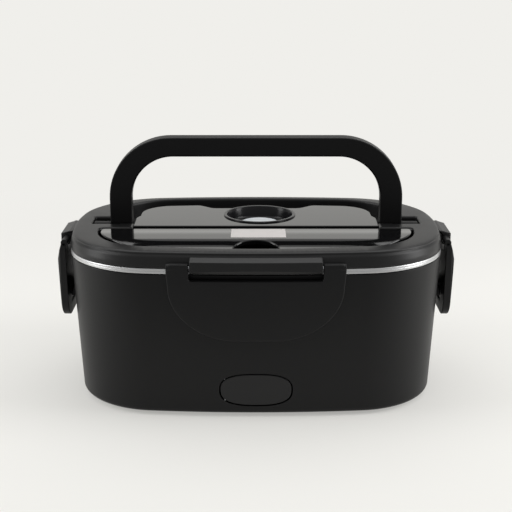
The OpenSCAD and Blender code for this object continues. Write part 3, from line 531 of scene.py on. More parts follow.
def steel(name, colour, rough, along=(8, 8, 2200)):
    """Stainless steel rolled along its length: streaks in sheen and height, slightly clouded."""
    m = Material(name, Metallic=1.0, Roughness=rough)
    streak = m.noise(1.0, 3.0, 0.6, m.stretch(along))
    cloud = m.noise(40.0, 3.0)
    fac = cloud * 0.5 + streak * 0.5
    return m.finish(m.tone(fac, scaled(colour, 0.92), scaled(colour, 1.05)),
                    (streak - 0.5) * 0.18 + (cloud - 0.5) * 0.06 + rough, m.height(streak, 0.004))


def soft_rubber(name, colour, rough):
    """Silicone or rubber: a powdery sheen with fine pits and a faint clouding."""
    m = Material(name, Roughness=rough, Specular_IOR_Level=0.4)
    cloud, pits = m.noise(60.0, 3.0), m.cells(1500.0)
    return m.finish(m.tone(cloud, scaled(colour, 0.9), scaled(colour, 1.08)),
                    (cloud - 0.5) * 0.12 + rough, m.height(pits, 0.01))


def woven(name, colour):
    """Glass cloth: crossed threads as two sine waves."""
    m = Material(name, Roughness=0.85)
    sep = {c: m.add("SeparateXYZ", {0: m.place}, out=c) for c in "XY"}
    threads = (m.add("Math", {0: sep["X"] * 6000.0}, operation="SINE")
               + m.add("Math", {0: sep["Y"] * 6000.0}, operation="SINE")) * 0.25 + 0.5
    m.feed("Base Color", m.tone(threads, scaled(colour, 0.75), colour))
    m.feed("Normal", m.height(threads, 0.08))
    return m.data


# ---- outlines of the pieces

COVER_W = box_mm("cutlery_cover")[1][0] - 0.6
COVER_FRONT, COVER_REAR, COVER_R, COVER_DROP = HALF_DEP - 13.0, 16.2, 37.0, 5.2
COVER_BOW = ((COVER_W - COVER_R) ** 2 / COVER_DROP + COVER_DROP) / 2
COVER_TURN = math.degrees(math.asin((COVER_W - COVER_R) / COVER_BOW))
NOTCH_R = 14.0
HANDLE_W = HALF_LEN - 24.1
LEG_W, BAR_H, HANDLE_T, REACH, HANDLE_R = 14.2, 12.8, 9.0, 60.2, 39.5
ISLAND_W = HANDLE_W - LEG_W - 1.2
ISLAND_REAR = PIVOT_Y + REACH - BAR_H - 0.5
ISLAND_R = 21.0
CHANNEL_REAR, CHANNEL_BOW = PIVOT_Y + REACH + 5.2, 700.0
COVER_GAP = 1.3
CHANNEL_FRONT = PIVOT_Y - HANDLE_T / 2 - 0.5
POCKET_OUT = HANDLE_W + 11.8
WELL_HOLE = WELL_R - 1.2


def path(*items):
    """Joins arcs, given as point arrays, and corners, given as (x, y, radius), into a polyline."""
    rows = np.concatenate([np.column_stack([i, np.zeros(len(i))]) if isinstance(i, np.ndarray)
                           else [i] for i in items])
    return rounded(rows[:, :2], rows[:, 2], 6, closed=False)


def cover_front(g, start=0.0):
    """The right half of the cover's bowed front, from x = start outward."""
    turn = math.degrees(math.asin(start / COVER_BOW))
    return arc((0, -COVER_FRONT + COVER_BOW), COVER_BOW + g, 270 + turn, 270 + COVER_TURN, 24)


def cover_right(g):
    """The cover's right side: its front corner and its rear corner."""
    c = (COVER_W - COVER_R, -COVER_FRONT + COVER_R + COVER_DROP)
    rr = max(2.4 + g, 0.5)
    return (arc(c, COVER_R + g, -89 + COVER_TURN, 0, 36),
            arc((COVER_W + g - rr, -COVER_REAR + g - rr), rr, 0, 90, 8))


def cover_loop(g):
    """The cutlery cover's outline, moved outward by g."""
    return mirrored(path(cover_front(g), *cover_right(g)))


def notched_cover():
    """The cover's outline, with the finger notch as a circle's arc and two rounded tips."""
    bow_mid = -COVER_FRONT + COVER_BOW
    cy = -COVER_FRONT + 2.0
    y = (NOTCH_R**2 - COVER_BOW**2 + bow_mid**2 - cy**2) / (2 * (bow_mid - cy))
    x = math.sqrt(NOTCH_R**2 - (y - cy) ** 2)
    low = math.degrees(math.atan2(y - cy, x))
    return mirrored(path(arc((0, cy), NOTCH_R, 90, low + 9, 22), (x, y, 1.6),
                         cover_front(0.0, x + 2.4), *cover_right(0.0)))


def island_edge(g):
    """The right edge of the island from its front corner up and round the scoop, and the height
    at which the scoop meets the well."""
    w, r, back = ISLAND_W + g, ISLAND_R + g, ISLAND_REAR + g
    items = [np.array([[w + 0.4, -COVER_REAR + 7.4 - g]]), (w + 0.4, 13.0, 3.0),
             (w - 1.8, 19.0, 4.0),
             arc((w - 1.8 - r, back - 1.2 - r), r, 0, 86, 24),
             arc((41, back - 9), 9, 88, 115, 6), arc((26, back + 0.6), 9, -65, -90, 6)]
    return items, back - 8.4


def island_loop():
    """The island's outline with the well's round bite."""
    items, y = island_edge(0.0)
    right = path(*items)
    a = math.degrees(math.asin((y - WELL_Y) / WELL_HOLE))
    bite = arc((WELL_X, WELL_Y), WELL_HOLE, a, -180 - a, 72)
    return np.concatenate([right, bite, right[::-1] * [-1, 1]])


def pocket_path(g=0.0):
    """From the island's front corner out round the handle's right pocket."""
    front, rear = PIVOT_Y - HANDLE_T / 2 - 1.6 - g, PIVOT_Y + 13 + g
    return [(ISLAND_W, CHANNEL_FRONT - g, 0.6), (HANDLE_W - 6, CHANNEL_FRONT - g, 0.3),
            (HANDLE_W - 5.6, front, 0.3), (POCKET_OUT + g, front, 1.6), (POCKET_OUT + g, rear, 1.6),
            (HANDLE_W + 0.8 + g, rear, 1.2)]


def channel_arc(g=0.0):
    """The channel's outer corner and its bowed rear edge, as two tangent arcs."""
    r, bow = HANDLE_R + 1 + g, CHANNEL_BOW + g
    x, low = HANDLE_W + 0.8 + g - r, CHANNEL_REAR + g - bow
    y = low + math.sqrt((bow - r) ** 2 - x**2)
    turn = 90 - math.degrees(math.atan2(x, y - low))
    return np.concatenate([arc((x, y), r, 0, turn, 30), arc((0, low), bow, turn, 90, 12)[1:]])


def channel_loop(g=0.0):
    """The handle's channel: the pockets and the outer curve one way, and the island and the well's
    bite back."""
    outside = mirrored(path(*pocket_path(g), channel_arc(g)))
    items, y = island_edge(-g)
    right = path(np.array([[ISLAND_W - g, CHANNEL_FRONT - g]]), *items[1:])
    r = WELL_HOLE + g
    a = math.degrees(math.asin((y - WELL_Y) / r))
    bite = arc((WELL_X, WELL_Y), r, -180 - a, a, 72)
    inner = np.concatenate([right * [-1, 1], bite, right[::-1]])
    return np.concatenate([outside, inner[1:-1] if g == 0 else inner])


def deck_opening():
    """The whole opening in the lid's top: the cover's place, the island and the channel."""
    g = COVER_GAP
    return mirrored(path(cover_front(g), *cover_right(g), (ISLAND_W, -COVER_REAR + g, 0.4),
                         *pocket_path(), channel_arc()))


def soft_oval(w, h, centre_x=0.0, n=112):
    """A loop about the socket's height, between an ellipse and a rectangle: x and z are half the
    width and height times the cosine and sine, each raised to 2 / 2.65 with its sign kept."""
    a = (np.arange(n) + 0.5) * 2 * np.pi / n
    c, s = np.cos(a), np.sin(a)
    k = 2 / 2.65
    x, z = w / 2 * np.abs(c)**k * np.sign(c), h / 2 * np.abs(s)**k * np.sign(s)
    return np.stack([x, z], 1) + (centre_x, SOCKET_Z)


def housing_u(z):
    """How far the housing wall stands inside the outline at height z."""
    return -DRAFT * (Z_SEAT - z) / BODY_H

def housing_face(s, z):
    """The housing's wall as a lift from its side."""
    return housing_u(z)


# ---- property groups

def number(name, about, value, low, high, **more):
    return FloatProperty(name=name, description=about, default=value, min=low, max=high, **more)


def colour(name, about, value):
    return FloatVectorProperty(name=name, description="Colour of " + about, subtype="COLOR",
                               default=value, min=0, max=1)


class LunchBoxShape(bpy.types.PropertyGroup):
    """Small forms of the pieces."""
    cover_edge: number("Cover edge", "Rounding of the gloss panels, in millimetres", 0.7, 0.2, 0.9)
    crease: number("Crease depth", "Depth of the line round the lid's shoulder, in millimetres",
                   0.35, 0.0, 0.8)
    turns: IntProperty(name="Steps round", description="Steps of the steam well and its valve",
                       default=128, min=32, max=256)


class LunchBoxFinish(bpy.types.PropertyGroup):
    """Colours and sheen of the finishes."""
    body: colour("Body", "the housing", (0.0050, 0.0050, 0.0053))
    lid: colour("Lid", "the lid and the latches", (0.0058, 0.0058, 0.0061))
    handle: colour("Handle", "the handle", (0.0045, 0.0045, 0.0048))
    gloss: colour("Gloss panels", "the gloss panels", (0.0035, 0.0035, 0.0038))
    steel: colour("Steel", "the container", (0.60, 0.605, 0.61))
    silicone: colour("Valve", "the steam valve", (0.60, 0.63, 0.65))
    satin: number("Satin roughness", "Roughness of the satin plastic", 0.42, 0.1, 0.9,
                  subtype="FACTOR")


class LunchBoxStage(bpy.types.PropertyGroup):
    """Backdrop, light and camera."""
    paper: colour("Backdrop", "the floor and backdrop", (0.871, 0.863, 0.831))
    lens: number("Focal length", "Focal length on a 36 mm sensor", 77.344, 20, 200,
                 subtype="DISTANCE_CAMERA")
    eye: FloatVectorProperty(name="Camera", description="Place of the camera, in millimetres",
                             default=(0.0, -687.7, 276.5), subtype="XYZ")
    pitch: FloatProperty(name="Pitch", description="How far the camera looks down",
                         default=math.radians(15.82), subtype="ANGLE")


# ---- pieces
def make_finishes():
    """Every finish, by the record's slot name."""
    f = bpy.context.scene.lunch_box_finish
    FINISH.update(
        housing=moulded("satin_black_housing", tuple(f.body), f.satin),
        bottom=moulded("matte_black_bottom", (0.014, 0.014, 0.015), 0.55),
        foot_rubber=soft_rubber("black_foot_rubber", (0.02, 0.02, 0.021), 0.7),
        screw_steel=steel("zinc_plated_steel", (0.5, 0.51, 0.53), 0.35),
        liner=moulded("grey_liner", (0.05, 0.052, 0.055), 0.5),
        plate=steel("machined_aluminium", (0.72, 0.73, 0.75), 0.28, (900, 900, 20)),
        ptc=moulded("amber_heater_film", (0.35, 0.2, 0.06), 0.3),
        insulation=woven("glass_cloth", (0.8, 0.78, 0.72)),
        clamp=steel("pressed_steel", (0.5, 0.51, 0.53), 0.32),
        thermostat=moulded("black_phenolic", (0.02, 0.02, 0.021), 0.35),
        socket=moulded("matte_black_socket", (0.012, 0.012, 0.013), 0.5),
        contact=steel("nickel_contact", (0.7, 0.69, 0.66), 0.16),
        pin_steel=steel("ground_pin_steel", (0.45, 0.46, 0.48), 0.25),
        socket_cover=moulded("satin_socket_cover", scaled(f.body, 1.7), f.satin - 0.02, spec=0.3),
        container_steel=steel("stainless_container", tuple(f.steel), 0.36),
        lid=moulded("satin_black_lid", tuple(f.lid), f.satin - 0.03, spec=0.32),
        gloss_black=glossy("piano_black_panel", tuple(f.gloss)),
        inner_panel=moulded("black_inner_panel", (0.02, 0.021, 0.022), 0.5),
        gasket=soft_rubber("clear_grey_gasket", (0.55, 0.56, 0.57), 0.45),
        well=moulded("black_well", (0.008, 0.008, 0.009), 0.22),
        valve=soft_rubber("grey_silicone_valve", tuple(f.silicone), 0.5),
        label=moulded("blank_pale_label", (0.56, 0.535, 0.525), 0.4),
        handle=moulded("satin_black_handle", scaled(f.handle, 0.7), f.satin - 0.04, spec=0.17),
        latch=moulded("satin_black_latch", tuple(f.lid), f.satin),
    )
class LUNCHBOX_OT_housing(bpy.types.Operator):
    """Housing: a profile swept round the oval, less the socket opening, with its catches"""
    bl_idname = "lunch_box.housing"
    bl_label = "Housing"

    def execute(self, context):
        r, wall_t, low = FOOT_R, 2.4, -11.1
        a = np.radians(np.linspace(0, 90, 9))
        foot = np.stack([housing_u(Z_BODY + r) - r * (1 - np.sin(a)),
                         Z_BODY + r * (1 - np.cos(a))], 1)
        z = np.linspace(Z_BODY + r, Z_SEAT - 0.6, 50)[1:]
        wall = np.stack([housing_u(z), z], 1)
        inner = [[-0.6, Z_SEAT], [-1.5, Z_SEAT], [-1.5, Z_SEAT - 1.2], [-2.8, Z_SEAT - 1.2],
                 [-2.8, Z_SEAT - 3.2], *([housing_u(h) - wall_t, h] for h in (82.0, 9.4)),
                 [low - 1, 6.4], [low - 8, 6.4], [low - 8, 4.4], [low, 4.4], [low, Z_BODY]]
        shell = sweep(np.concatenate([foot, wall, [[-0.15, Z_SEAT - 0.15]], inner]))
        front = on_side("front")
        opening = outer(soft_oval(OPENING_W, OPENING_H))
        shell = carve(shell, solid([opening], [(0, 6.0), (0, -22.0)], front))
        sleeve = solid([outer(soft_oval(SOCKET_W + 6, SOCKET_H + 5)), hole(opening[0])],
                       [(0, moved(housing_face, -1.0)), (0, moved(housing_face, -8.0))], front)
        catches = [self.catch(side, 14.0 if side in LONG_SIDES else 13.0) for side in SIDES]
        piece("housing", "base", "housing", [shell, sleeve, *catches], ["outer_housing"])
        return {"FINISHED"}

    def catch(self, side, half):
        """A catch for a latch, sloped off at its top."""
        low, top = LATCH_LOW + 7, LATCH_LOW + 16
        loop = outer(rounded([[-half, low], [half, low], [half, top], [-half, top]], 1.0))

        def slope(s, z):
            return np.minimum(1.2, 1.2 - (z - (top - 4)) * 0.7)
        return solid([loop], [(0.4, slope), (0.0, moved(slope, -0.4)), (0.0, -4.0)],
                     on_side(side), 3.0)


class LUNCHBOX_OT_container(bpy.types.Operator):
    """Container and liner: cups swept round the oval, the container's rim with two beads"""
    bl_idname = "lunch_box.container"
    bl_label = "Container and liner"

    def execute(self, context):
        sheet, top, foot_in = 0.8, Z_RIM_TOP, 30
        food = box_mm("steel_container")[0][2] + sheet
        low = -12.5
        swept("container", "container", "container_steel", "steel_container",
              [[low - foot_in, food - sheet], [low + 1.0, food - sheet], [-5.2, top - 1.2],
               [-0.9, top - 1.0], [-0.9, Z_RIM], [0.0, Z_RIM], [0.0, Z_RIM + 1.45],
               [-0.25, Z_RIM + 1.6], [0.0, Z_RIM + 1.75], [0.0, top + 0.45], [-2.1, top + 0.45],
               [-2.6, top], [-6.0, top], [low, food], [low - foot_in, food]],
              [0, 6.5, 0.5, 0.3, 0.2, 0.5, 0.3, 0.08, 0.3, 0.8, 0.3, 0.3, 1.5, 6.0, 0], 8)
        z_liner = box_mm("inner_liner")[0][2]
        floor, low = z_liner + 1.6, low + 1.6
        swept("liner", "base", "liner", "inner_liner",
              [[low - foot_in, z_liner], [low + 1.4, z_liner], [-3.2, Z_SEAT - 1.2],
               [-1.65, Z_SEAT - 1.2], [-1.65, Z_SEAT], [-4.4, Z_SEAT], [low, floor],
               [low - foot_in, floor]], [0, 6, 0.3, 0.2, 0.5, 0.6, 5.0, 0], 6)
        return {"FINISHED"}


class LUNCHBOX_OT_lid(bpy.types.Operator):
    """Lid: a rim profile and a top with its openings, tubs under them, and the hinge blocks"""
    bl_idname = "lunch_box.lid"
    bl_label = "Lid"

    def execute(self, context):
        c, flange, low = context.scene.lunch_box_shape.crease, Z_LID - PANEL_T, Z_TOP - 2.4
        rim = rounded([[-3.8, Z_TOP], [-1.9, Z_TOP - 0.7], [-1.5 - c, Z_TOP - 1.75],
                       [-0.75, Z_TOP - 3.0], [0.0, Z_LID + 3.2], [0.0, Z_LID + 0.5],
                       [-2.2, Z_LID + 0.5], [-2.2, Z_LID + 2.6], [-6.6, Z_LID + 2.6],
                       [-6.6, flange], [-12.2, flange], [-12.2, Z_LID], [-8.0, Z_LID], [-8.0, low]],
                      [0, 1.6, 0.35, 2.6, 9.0, 0.5, 0.4, 0.2, 0.2, 0.3, 0.3, 0.1, 0.2, 0], 7,
                      closed=False)
        deck = solid([(OVAL, OVAL_N), hole(deck_opening())],
                     [[(-u, z) for u, z in rim], edge(1.4, Z_TOP) + [(0.0, low)]])
        tray, well = hole(cover_loop(-2.6)), hole(channel_loop())
        tray_low, ledge, under = box_mm("lid_shell")[0][2], Z_TOP - 4.95, Z_TOP - 2.8
        slabs = (
            ([outer(oval(7.4)), hole(cover_loop(-2.0)), hole(channel_loop(0.7))],
             Z_TOP - 4.6, under, 0.05, 0.05),
            ([outer(cover_loop(-1.2)), tray], tray_low, ledge + 0.02, 0.3, 0.05),
            ([outer(cover_loop(2.4)), tray], ledge, under, 0.05, 0.3),
            ([outer(cover_loop(-1.6))], tray_low - 0.02, tray_low + 1.4, 0.05, 0.3),
            ([outer(channel_loop(1.4)), well], CHANNEL_FLOOR - 1.4, Z_TOP - 2.3, 0.1, 0.1),
            ([outer(channel_loop(1.0))], CHANNEL_FLOOR - 1.42, CHANNEL_FLOOR, 0.05, 0.05))
        blocks = [self.block(side, side in LONG_SIDES) for side in SIDES]
        piece("lid_top", "lid", "lid", [deck, *(slab(*s) for s in slabs), *blocks], ["lid_shell"],
              sharp=34.0)
        plug = box_mm("lid_inner_panel")[0][2]
        swept("lid_inside", "lid", "inner_panel", "lid_inner_panel",
              [[-40, plug], [-11.0, plug], [-11.0, flange], [-12.2, flange],
               [-12.2, plug + PANEL_T], [-40, plug + PANEL_T]], [0, 2.4, 0.1, 0.1, 1.4, 0], 6)
        swept("seal", "lid", "gasket", "lid_gasket",
              [[-6.5, Z_LID + 2.6], [-6.5, Z_LID + 0.9], [-5.4, Z_LID], [-3.2, Z_LID],
               [-2.4, Z_LID + 0.4], [-2.4, Z_LID + 2.6]], [0.1, 0.4, 0.4, 0.4, 0.2, 0.1], 5, True)
        return {"FINISHED"}

    def block(self, side, long):
        """A hinge block: a rounded section [u, z] with an arched foot, carried along a side and
        drawn in a little at its ends."""
        half = 38.7 if long else 14.0
        low, skirt, front_top, back_top = Z_LID + 0.2, Z_LID - 1.3, Z_TOP - 4.1, Z_TOP - 2.5
        place = on_side(side)
        ends, insets = np.array([0.0, 0.12, 0.35, 0.7]), np.array([0.7, 0.35, 0.12, 0.0])
        middle = np.linspace(-half, half, 30 if long else 3)[1:-1]
        s = np.concatenate([-half + ends, middle, half - ends[::-1]])
        inset = np.concatenate([insets, np.zeros(len(middle)), insets[::-1]])
        rows = []
        for at, d in zip(s, inset):
            arch = skirt + 1.0 + (1.2 * (1 - (at / half)**2) if long else 0.3)
            q, n = outer(rounded([[-1.4, low], [0.45, low], [0.45, skirt], [5.0, skirt],
                                  [5.95, arch], [5.95, front_top], [5.2, front_top + 0.25],
                                  [0.6, back_top], [-1.4, back_top]],
                                 [0.2, 0.2, 0.3, 0.4, 0.4, 0.9, 1.4, 1.6, 0.1], 5))
            p = q - d * n
            rows.append(place(at, p[:, 1], p[:, 0]))
        return tube(rows)


class LUNCHBOX_OT_panels(bpy.types.Operator):
    """Gloss panels: the cutlery cover with its notch and label, and the island panel"""
    bl_idname = "lunch_box.panels"
    bl_label = "Gloss panels"

    def execute(self, context):
        r = context.scene.lunch_box_shape.cover_edge

        def crown(x, y):
            """The cover's top: up a little from its rear edge, then flat, then down to a ledge."""
            rise, fall = (np.clip(v, 0, 1) for v in ((-COVER_REAR - y) / 18.0, (-45.5 - y) / 11.0))
            return (COVER_TOP - 0.1 + 1.0 * rise**2 * (3 - 2 * rise)
                    - 2.0 * fall**2 * (3 - 2 * fall))
        rings = edge(r, crown, -1, 5) + [(0.0, COVER_TOP - 2.1), (0.3, COVER_TOP - 2.4)]
        cover = solid([outer(notched_cover())], rings, spacing=2.4)
        stud = [[0, 0], [0.65, 0], [0.8, 0.2], [0.8, 5.8], [0.65, 6.0], [0, 6.0]]
        studs = [revolve(stud, (x, -17.6, Z_TOP - 1.3), 32, "x")
                 for x in (-COVER_W - 1.4, COVER_W - 4.6)]
        piece("cover_panel", "cutlery_cover", "gloss_black", [cover, *studs], ["cutlery_cover"],
              sharp=40)
        left, right, y = -15.3, 18.3, np.linspace(-42.0, -17.6, 14)
        about = np.concatenate([np.stack([np.full(14, right), y], 1),
                                np.stack([np.full(14, left), y[::-1]], 1)])
        sheet = [(0.0, moved(crown, 0.12)), (0.0, moved(crown, -0.3))]
        piece("blank_label", "cutlery_cover", "label", [solid([outer(about)], sheet, spacing=2.4)])
        piece("island", "lid", "gloss_black",
              [slab([outer(island_loop())], PANEL_BASE, PANEL_TOP, r, 0.1)], ["island_panel"],
              sharp=40)
        return {"FINISHED"}


class LUNCHBOX_OT_steam_well(bpy.types.Operator):
    """Steam well and valve: profiles turned about the well's axis"""
    bl_idname = "lunch_box.steam_well"
    bl_label = "Steam well"

    def execute(self, context):
        n = context.scene.lunch_box_shape.turns
        floor, lip, neck, bore, r = Z_TOP - 7.0, Z_TOP + 0.35, 6.0, 2.6, WELL_R
        low, panel = box_mm("steam_well")[0][2], PANEL_TOP - 0.1
        bowl = rounded([[bore, low], [neck, low], [neck, floor - 1.6], [r - 2.3, floor - 1.6],
                        [r - 1.25, Z_TOP - 4.4], [r - 1.25, panel], [r, panel], [r, lip],
                        [r - 2.0, lip], [r - 2.5, Z_TOP - 1.4], [r - 3.7, floor], [bore, floor]],
                       [0.1, 0.4, 0.4, 0.4, 0.3, 0.1, 0.1, 0.7, 0.8, 1.0, 1.6, 0.1], 6)
        piece("well_bowl", "lid", "well", [revolve(bowl, (WELL_X, WELL_Y, 0), n)], ["steam_well"])
        tip = box_mm("steam_valve")[0][2]
        valve = rounded([[0, tip], [2.5, tip], [2.5, floor + 0.3], [12.5, floor + 0.3],
                         [12.5, floor + 1.5], [9.5, floor + 2.1], [8.9, floor + 1.8],
                         [0, floor + 2.3]], [0, 0.6, 0.3, 0.5, 0.7, 0.5, 0.4, 0], 6, closed=False)
        piece("valve", "steam_valve", "valve", [revolve(valve, (WELL_X, WELL_Y, 0), n)],
              ["steam_valve"])
        return {"FINISHED"}


class LUNCHBOX_OT_handle(bpy.types.Operator):
    """Handle: a rounded section carried up a leg and along the bar, whose top leans forward"""
    bl_idname = "lunch_box.handle"
    bl_label = "Handle"

    def execute(self, context):
        top, half_t, hub_w = PIVOT_Z + REACH - HANDLE_R, HANDLE_T / 2, 25.0
        legs = np.linspace(PIVOT_Z, top, 6)[:-1]
        out, inn = (mirrored(np.concatenate([np.stack([np.full(5, w), legs], 1),
                                             arc((w - r, top), r, 0, 90, 26)]))
                    for w, r in ((HANDLE_W, HANDLE_R), (HANDLE_W - LEG_W, HANDLE_R - BAR_H)))
        mid, half = (out + inn) / 2, np.linalg.norm(out - inn, axis=1) / 2
        way = (out - inn) / (2 * half)[:, None]
        rows = []
        for m, h, w in zip(mid, half, way):
            lean = 0.8 * w[1] ** 2
            q = rounded([[-h, -half_t], [h - lean, -half_t], [h, half_t], [-h, half_t]],
                        [1.3, 1.1, 1.5, 2.2], 6)
            rows.append(np.stack([m[0] + w[0] * q[:, 0], PIVOT_Y + q[:, 1],
                                  m[1] + w[1] * q[:, 0]], 1))
        hub = rounded([[0, 0], [half_t, 0], [half_t, hub_w], [0, hub_w]], [0, 0.8, 0.8, 0], 6,
                      closed=False)
        hubs = [revolve(hub, (x, PIVOT_Y, PIVOT_Z), 64, "x")
                for x in (HANDLE_W - LEG_W, -HANDLE_W + LEG_W - hub_w)]
        piece("carry_handle", "handle", "handle", [tube(rows), *hubs], ["handle"])
        return {"FINISHED"}


class LUNCHBOX_OT_latches(bpy.types.Operator):
    """Latches: a plate with a slot for its hinge block, two knuckles and a lip"""
    bl_idname = "lunch_box.latches"
    bl_label = "Latches"

    def execute(self, context):
        for side in SIDES:
            parts = self.parts(side, side in LONG_SIDES)
            piece(f"{side}_latch", f"latch_{side}", "latch", parts, [f"latch_{side}"])
        return {"FINISHED"}

    def parts(self, side, long):
        """The plate, hollow on the long sides and closed on the ends, the knuckles and the lip."""
        axis_u, axis_z = (1.9, Z_LID + 2.0) if long else (2.3, Z_LID + 2.6)
        knuckle, back, lip = (2.4, 1.7, 12.0) if long else (2.2, 1.5, 11.0)
        w, block = (52.3, 39.2) if long else (25.3, 14.5)
        top, slot, low = axis_z + knuckle, Z_LID - 5.6, LATCH_LOW if long else END_LATCH_LOW
        rx, rz, flare = (40.6, 33.0, 0.7) if long else (11.0, 11.0, 2.0)
        corner = arc((0, 0), 1.0, 270, 360, 40) * [rx, rz] + [w - flare - rx, low + rz]
        right = path(np.array([[0.0, low]]), corner, (w, Z_LID - 2, 8.0),
                     (w, top, 3.0 if long else 2.6), (block, top, 1.0), (block, slot, 2.0),
                     np.array([[0.0, slot]]))
        right = right[right[:, 0] >= 0]

        def front(s, z):
            if long:
                return 4.4 + 1.46 * np.clip((z - 51.0) / 37.6, 0, 1)
            flat = np.interp(z, [47.6, 81.0, 86.2, 97.2], [5.9, 6.9, 7.0, 4.6])
            t = np.clip((z - (axis_z - 3.0)) / (knuckle + 3.0), 0, 0.97)
            return axis_u + (flat - axis_u) * np.sqrt(1 - t**2)
        rings = edge(LATCH_EDGE, front, -1, 5) + [(0.0, back + 0.3), (0.3, back)]
        if long:
            rings += [(LATCH_RIM - 0.3, back), (LATCH_RIM, back + 0.3),
                      (LATCH_RIM, moved(front, -(LATCH_T + 0.4))),
                      (LATCH_RIM + 0.4, moved(front, -LATCH_T))]
        place = on_side(side)
        parts = [solid([outer(mirrored(right))], rings, place, 2.2)]
        barrel = rounded([[0, 0], [knuckle, 0], [knuckle, w - block], [0, w - block]],
                         [0, 0.5, 0.5, 0], 4, closed=False)
        v, f = revolve(barrel, (0, 0, 0), 48, "x")
        reach = (HALF_DEP if long else HALF_LEN) + axis_u
        for start in (-w, block):
            x, y = turned(side, v[:, 0] + start, -reach + v[:, 1])
            parts.append((np.stack([x, y, axis_z + v[:, 2]], 1), f))
        lip_z = LATCH_LOW + 1.6
        bar = outer(rounded([[-lip, lip_z], [lip, lip_z], [lip, lip_z + 3.0], [-lip, lip_z + 3.0]],
                            0.5))
        parts.append(solid([bar], [(0.3, back), (0.0, back + 0.3), (0.0, 3.4)], place, 3.0))
        return parts


class LUNCHBOX_OT_sockets(bpy.types.Operator):
    """Socket cover: an oval skin that follows the housing wall, with a ridge behind it"""
    bl_idname = "lunch_box.sockets"
    bl_label = "Socket cover"

    def execute(self, context):
        front, ridge_x = on_side("front"), 2.0
        rings = edge(0.6, housing_face, -1, 5) + [(0.0, moved(housing_face, -1.9)),
                                                  (0.3, moved(housing_face, -2.2))]
        skin = solid([outer(soft_oval(SOCKET_W, SOCKET_H))], rings, front, 1.8)
        ridge = solid([outer(soft_oval(SOCKET_W - 10, SOCKET_H - 4.6, ridge_x)),
                       hole(soft_oval(SOCKET_W - 12.4, SOCKET_H - 7, ridge_x))],
                      [(d, moved(housing_face, -h)) for d, h in ((0, 1.8), (0, 5.0), (0.2, 5.2))],
                      front)
        piece("socket_flap", "socket_cover", "socket_cover", [skin, ridge], ["socket_cover"])
        return {"FINISHED"}


class LUNCHBOX_OT_solids(bpy.types.Operator):
    """Gives each piece that stays as it is its finish"""
    bl_idname = "lunch_box.solids"
    bl_label = "Remaining pieces"

    def execute(self, context):
        slots = {s["node"]: s["material_slot"] for s in frame["record"]["subparts"]}
        for name, obj in frame["nodes"].items():
            if not obj.hide_render:
                obj.data.materials.clear()
                obj.data.materials.append(FINISH[slots[name]])
        return {"FINISHED"}


LAMP_TARGET = (0, 0, 60)
LAMPS = (("top_light", (0, 250, 900), (1200, 900), 4.2),
         ("left_light", (-900, -150, 420), (420, 900), 5.0),
         ("right_light", (900, -150, 420), (420, 900), 7.0))
WORLD_COLOUR, WORLD_STRENGTH = (1.0, 0.995, 0.98, 1), 0.45
FLOOR_START, FLOOR_END, SWEEP_R, WALL_TOP, HALF_WIDTH = -200.0, 1500.0, 700.0, 950.0, 4000


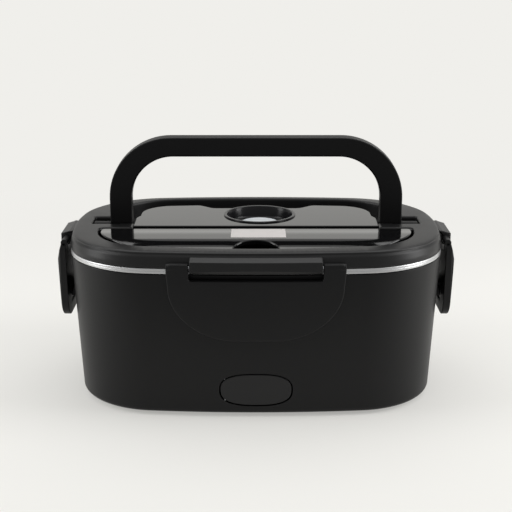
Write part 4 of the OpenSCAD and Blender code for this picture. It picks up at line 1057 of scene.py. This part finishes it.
class LUNCHBOX_OT_stage(bpy.types.Operator):
    """Stage: a pale floor that curves up into a backdrop, soft lights and the camera"""
    bl_idname = "lunch_box.stage"
    bl_label = "Stage"

    def execute(self, context):
        stage = context.scene.lunch_box_stage
        self.backdrop(tuple(stage.paper))
        world = bpy.data.worlds.new("studio")
        world.use_nodes = True
        context.scene.world = world
        back = world.node_tree.nodes["Background"]
        back.inputs["Color"].default_value = WORLD_COLOUR
        back.inputs["Strength"].default_value = WORLD_STRENGTH
        for lamp in LAMPS:
            self.lamp(*lamp)
        cam = linked("camera", bpy.data.cameras.new("camera"))
        cam.data.lens, cam.data.sensor_width = stage.lens, 36.0
        cam.data.clip_start, cam.data.clip_end = 0.05, 20.0
        cam.location = Vector(stage.eye) * MM
        cam.rotation_euler = (math.pi / 2 - stage.pitch, 0, 0)
        context.scene.camera = cam
        context.scene.view_settings.view_transform = "Standard"
        return {"FINISHED"}

    def backdrop(self, colour):
        """A floor swept up into a wall by a quarter circle, as one strip."""
        a = np.linspace(0, np.pi / 2, 24)
        r = SWEEP_R
        y = np.concatenate([[FLOOR_START], FLOOR_END + r * np.sin(a), [FLOOR_END + r]])
        z = np.concatenate([[0.0], r * (1 - np.cos(a)), [WALL_TOP]])
        x = np.linspace(-HALF_WIDTH, HALF_WIDTH, 9)
        v = np.stack(np.broadcast_arrays(x[:, None], y[None], z[None]), -1).reshape(-1, 3)
        mesh = bpy.data.meshes.new("backdrop")
        mesh.from_pydata(v * MM, [], quads(len(x), len(y), False, False))
        mesh.shade_smooth()
        mat = Material("studio_paper", Roughness=0.9, Specular_IOR_Level=0.1)
        cloud = mat.noise(3.0, 4.0)
        mat.feed("Base Color", mat.tone(cloud, scaled(colour, 0.91), scaled(colour, 0.92)))
        camera, gloss = (mat.add("LightPath", out=f"Is {k} Ray")
                         for k in ("Camera", "Glossy"))
        glow = mat.add("Emission", {"Color": (*colour, 1), "Strength": 1.0})
        y = mat.add("SeparateXYZ", {0: mat.place}, out="Y")
        depth = y.ramp(0.10, 0.55, 0.42, 1.0)
        paper = Val(mat, mat.shader.outputs[0])
        mixed = mat.add("MixShader", {0: camera.high(gloss) * depth, 1: paper, 2: glow})
        mat.tree.links.new(mixed.socket, mat.tree.nodes["Material Output"].inputs["Surface"])
        mesh.materials.append(mat.data)
        obj = linked("backdrop", mesh)

    def lamp(self, name, place, size, power):
        """A soft rectangular lamp at a place, turned towards the object; sizes in millimetres."""
        lamp = bpy.data.lights.new(name, "AREA")
        lamp.shape, lamp.energy = "RECTANGLE", power
        lamp.size, lamp.size_y = size[0] * MM, size[1] * MM
        obj = linked(name, lamp)
        obj.location = Vector(place) * MM
        obj.rotation_mode = "QUATERNION"
        obj.rotation_quaternion = (Vector(LAMP_TARGET) - Vector(place)).to_track_quat("-Z", "Y")


class LUNCHBOX_PT_panel(bpy.types.Panel):
    """Lists the settings and the steps"""
    bl_idname = "LUNCHBOX_PT_panel"
    bl_label = "Electric Lunch Box"
    bl_space_type = "VIEW_3D"
    bl_region_type = "UI"
    bl_category = "Lunch Box"

    def draw(self, context):
        for name in GROUPS:
            box, group = self.layout.box(), getattr(context.scene, name)
            for key in group.__annotations__:
                box.prop(group, key)
        for step in STEPS:
            self.layout.operator(step.bl_idname)


STEPS = (LUNCHBOX_OT_housing, LUNCHBOX_OT_container, LUNCHBOX_OT_lid, LUNCHBOX_OT_panels,
         LUNCHBOX_OT_steam_well, LUNCHBOX_OT_handle, LUNCHBOX_OT_latches, LUNCHBOX_OT_sockets,
         LUNCHBOX_OT_solids, LUNCHBOX_OT_stage)
GROUPS = {"lunch_box_shape": LunchBoxShape, "lunch_box_finish": LunchBoxFinish,
          "lunch_box_stage": LunchBoxStage}


def register():
    for cls in (*GROUPS.values(), *STEPS, LUNCHBOX_PT_panel):
        bpy.utils.register_class(cls)
    for name, cls in GROUPS.items():
        setattr(bpy.types.Scene, name, PointerProperty(type=cls))


def unregister():
    for name in GROUPS:
        delattr(bpy.types.Scene, name)
    for cls in (LUNCHBOX_PT_panel, *STEPS[::-1], *[*GROUPS.values()][::-1]):
        bpy.utils.unregister_class(cls)


def main():
    register()
    make_finishes()
    for step in STEPS:
        group, name = step.bl_idname.split(".")
        getattr(getattr(bpy.ops, group), name)()


if __name__ == "__main__":
    main()
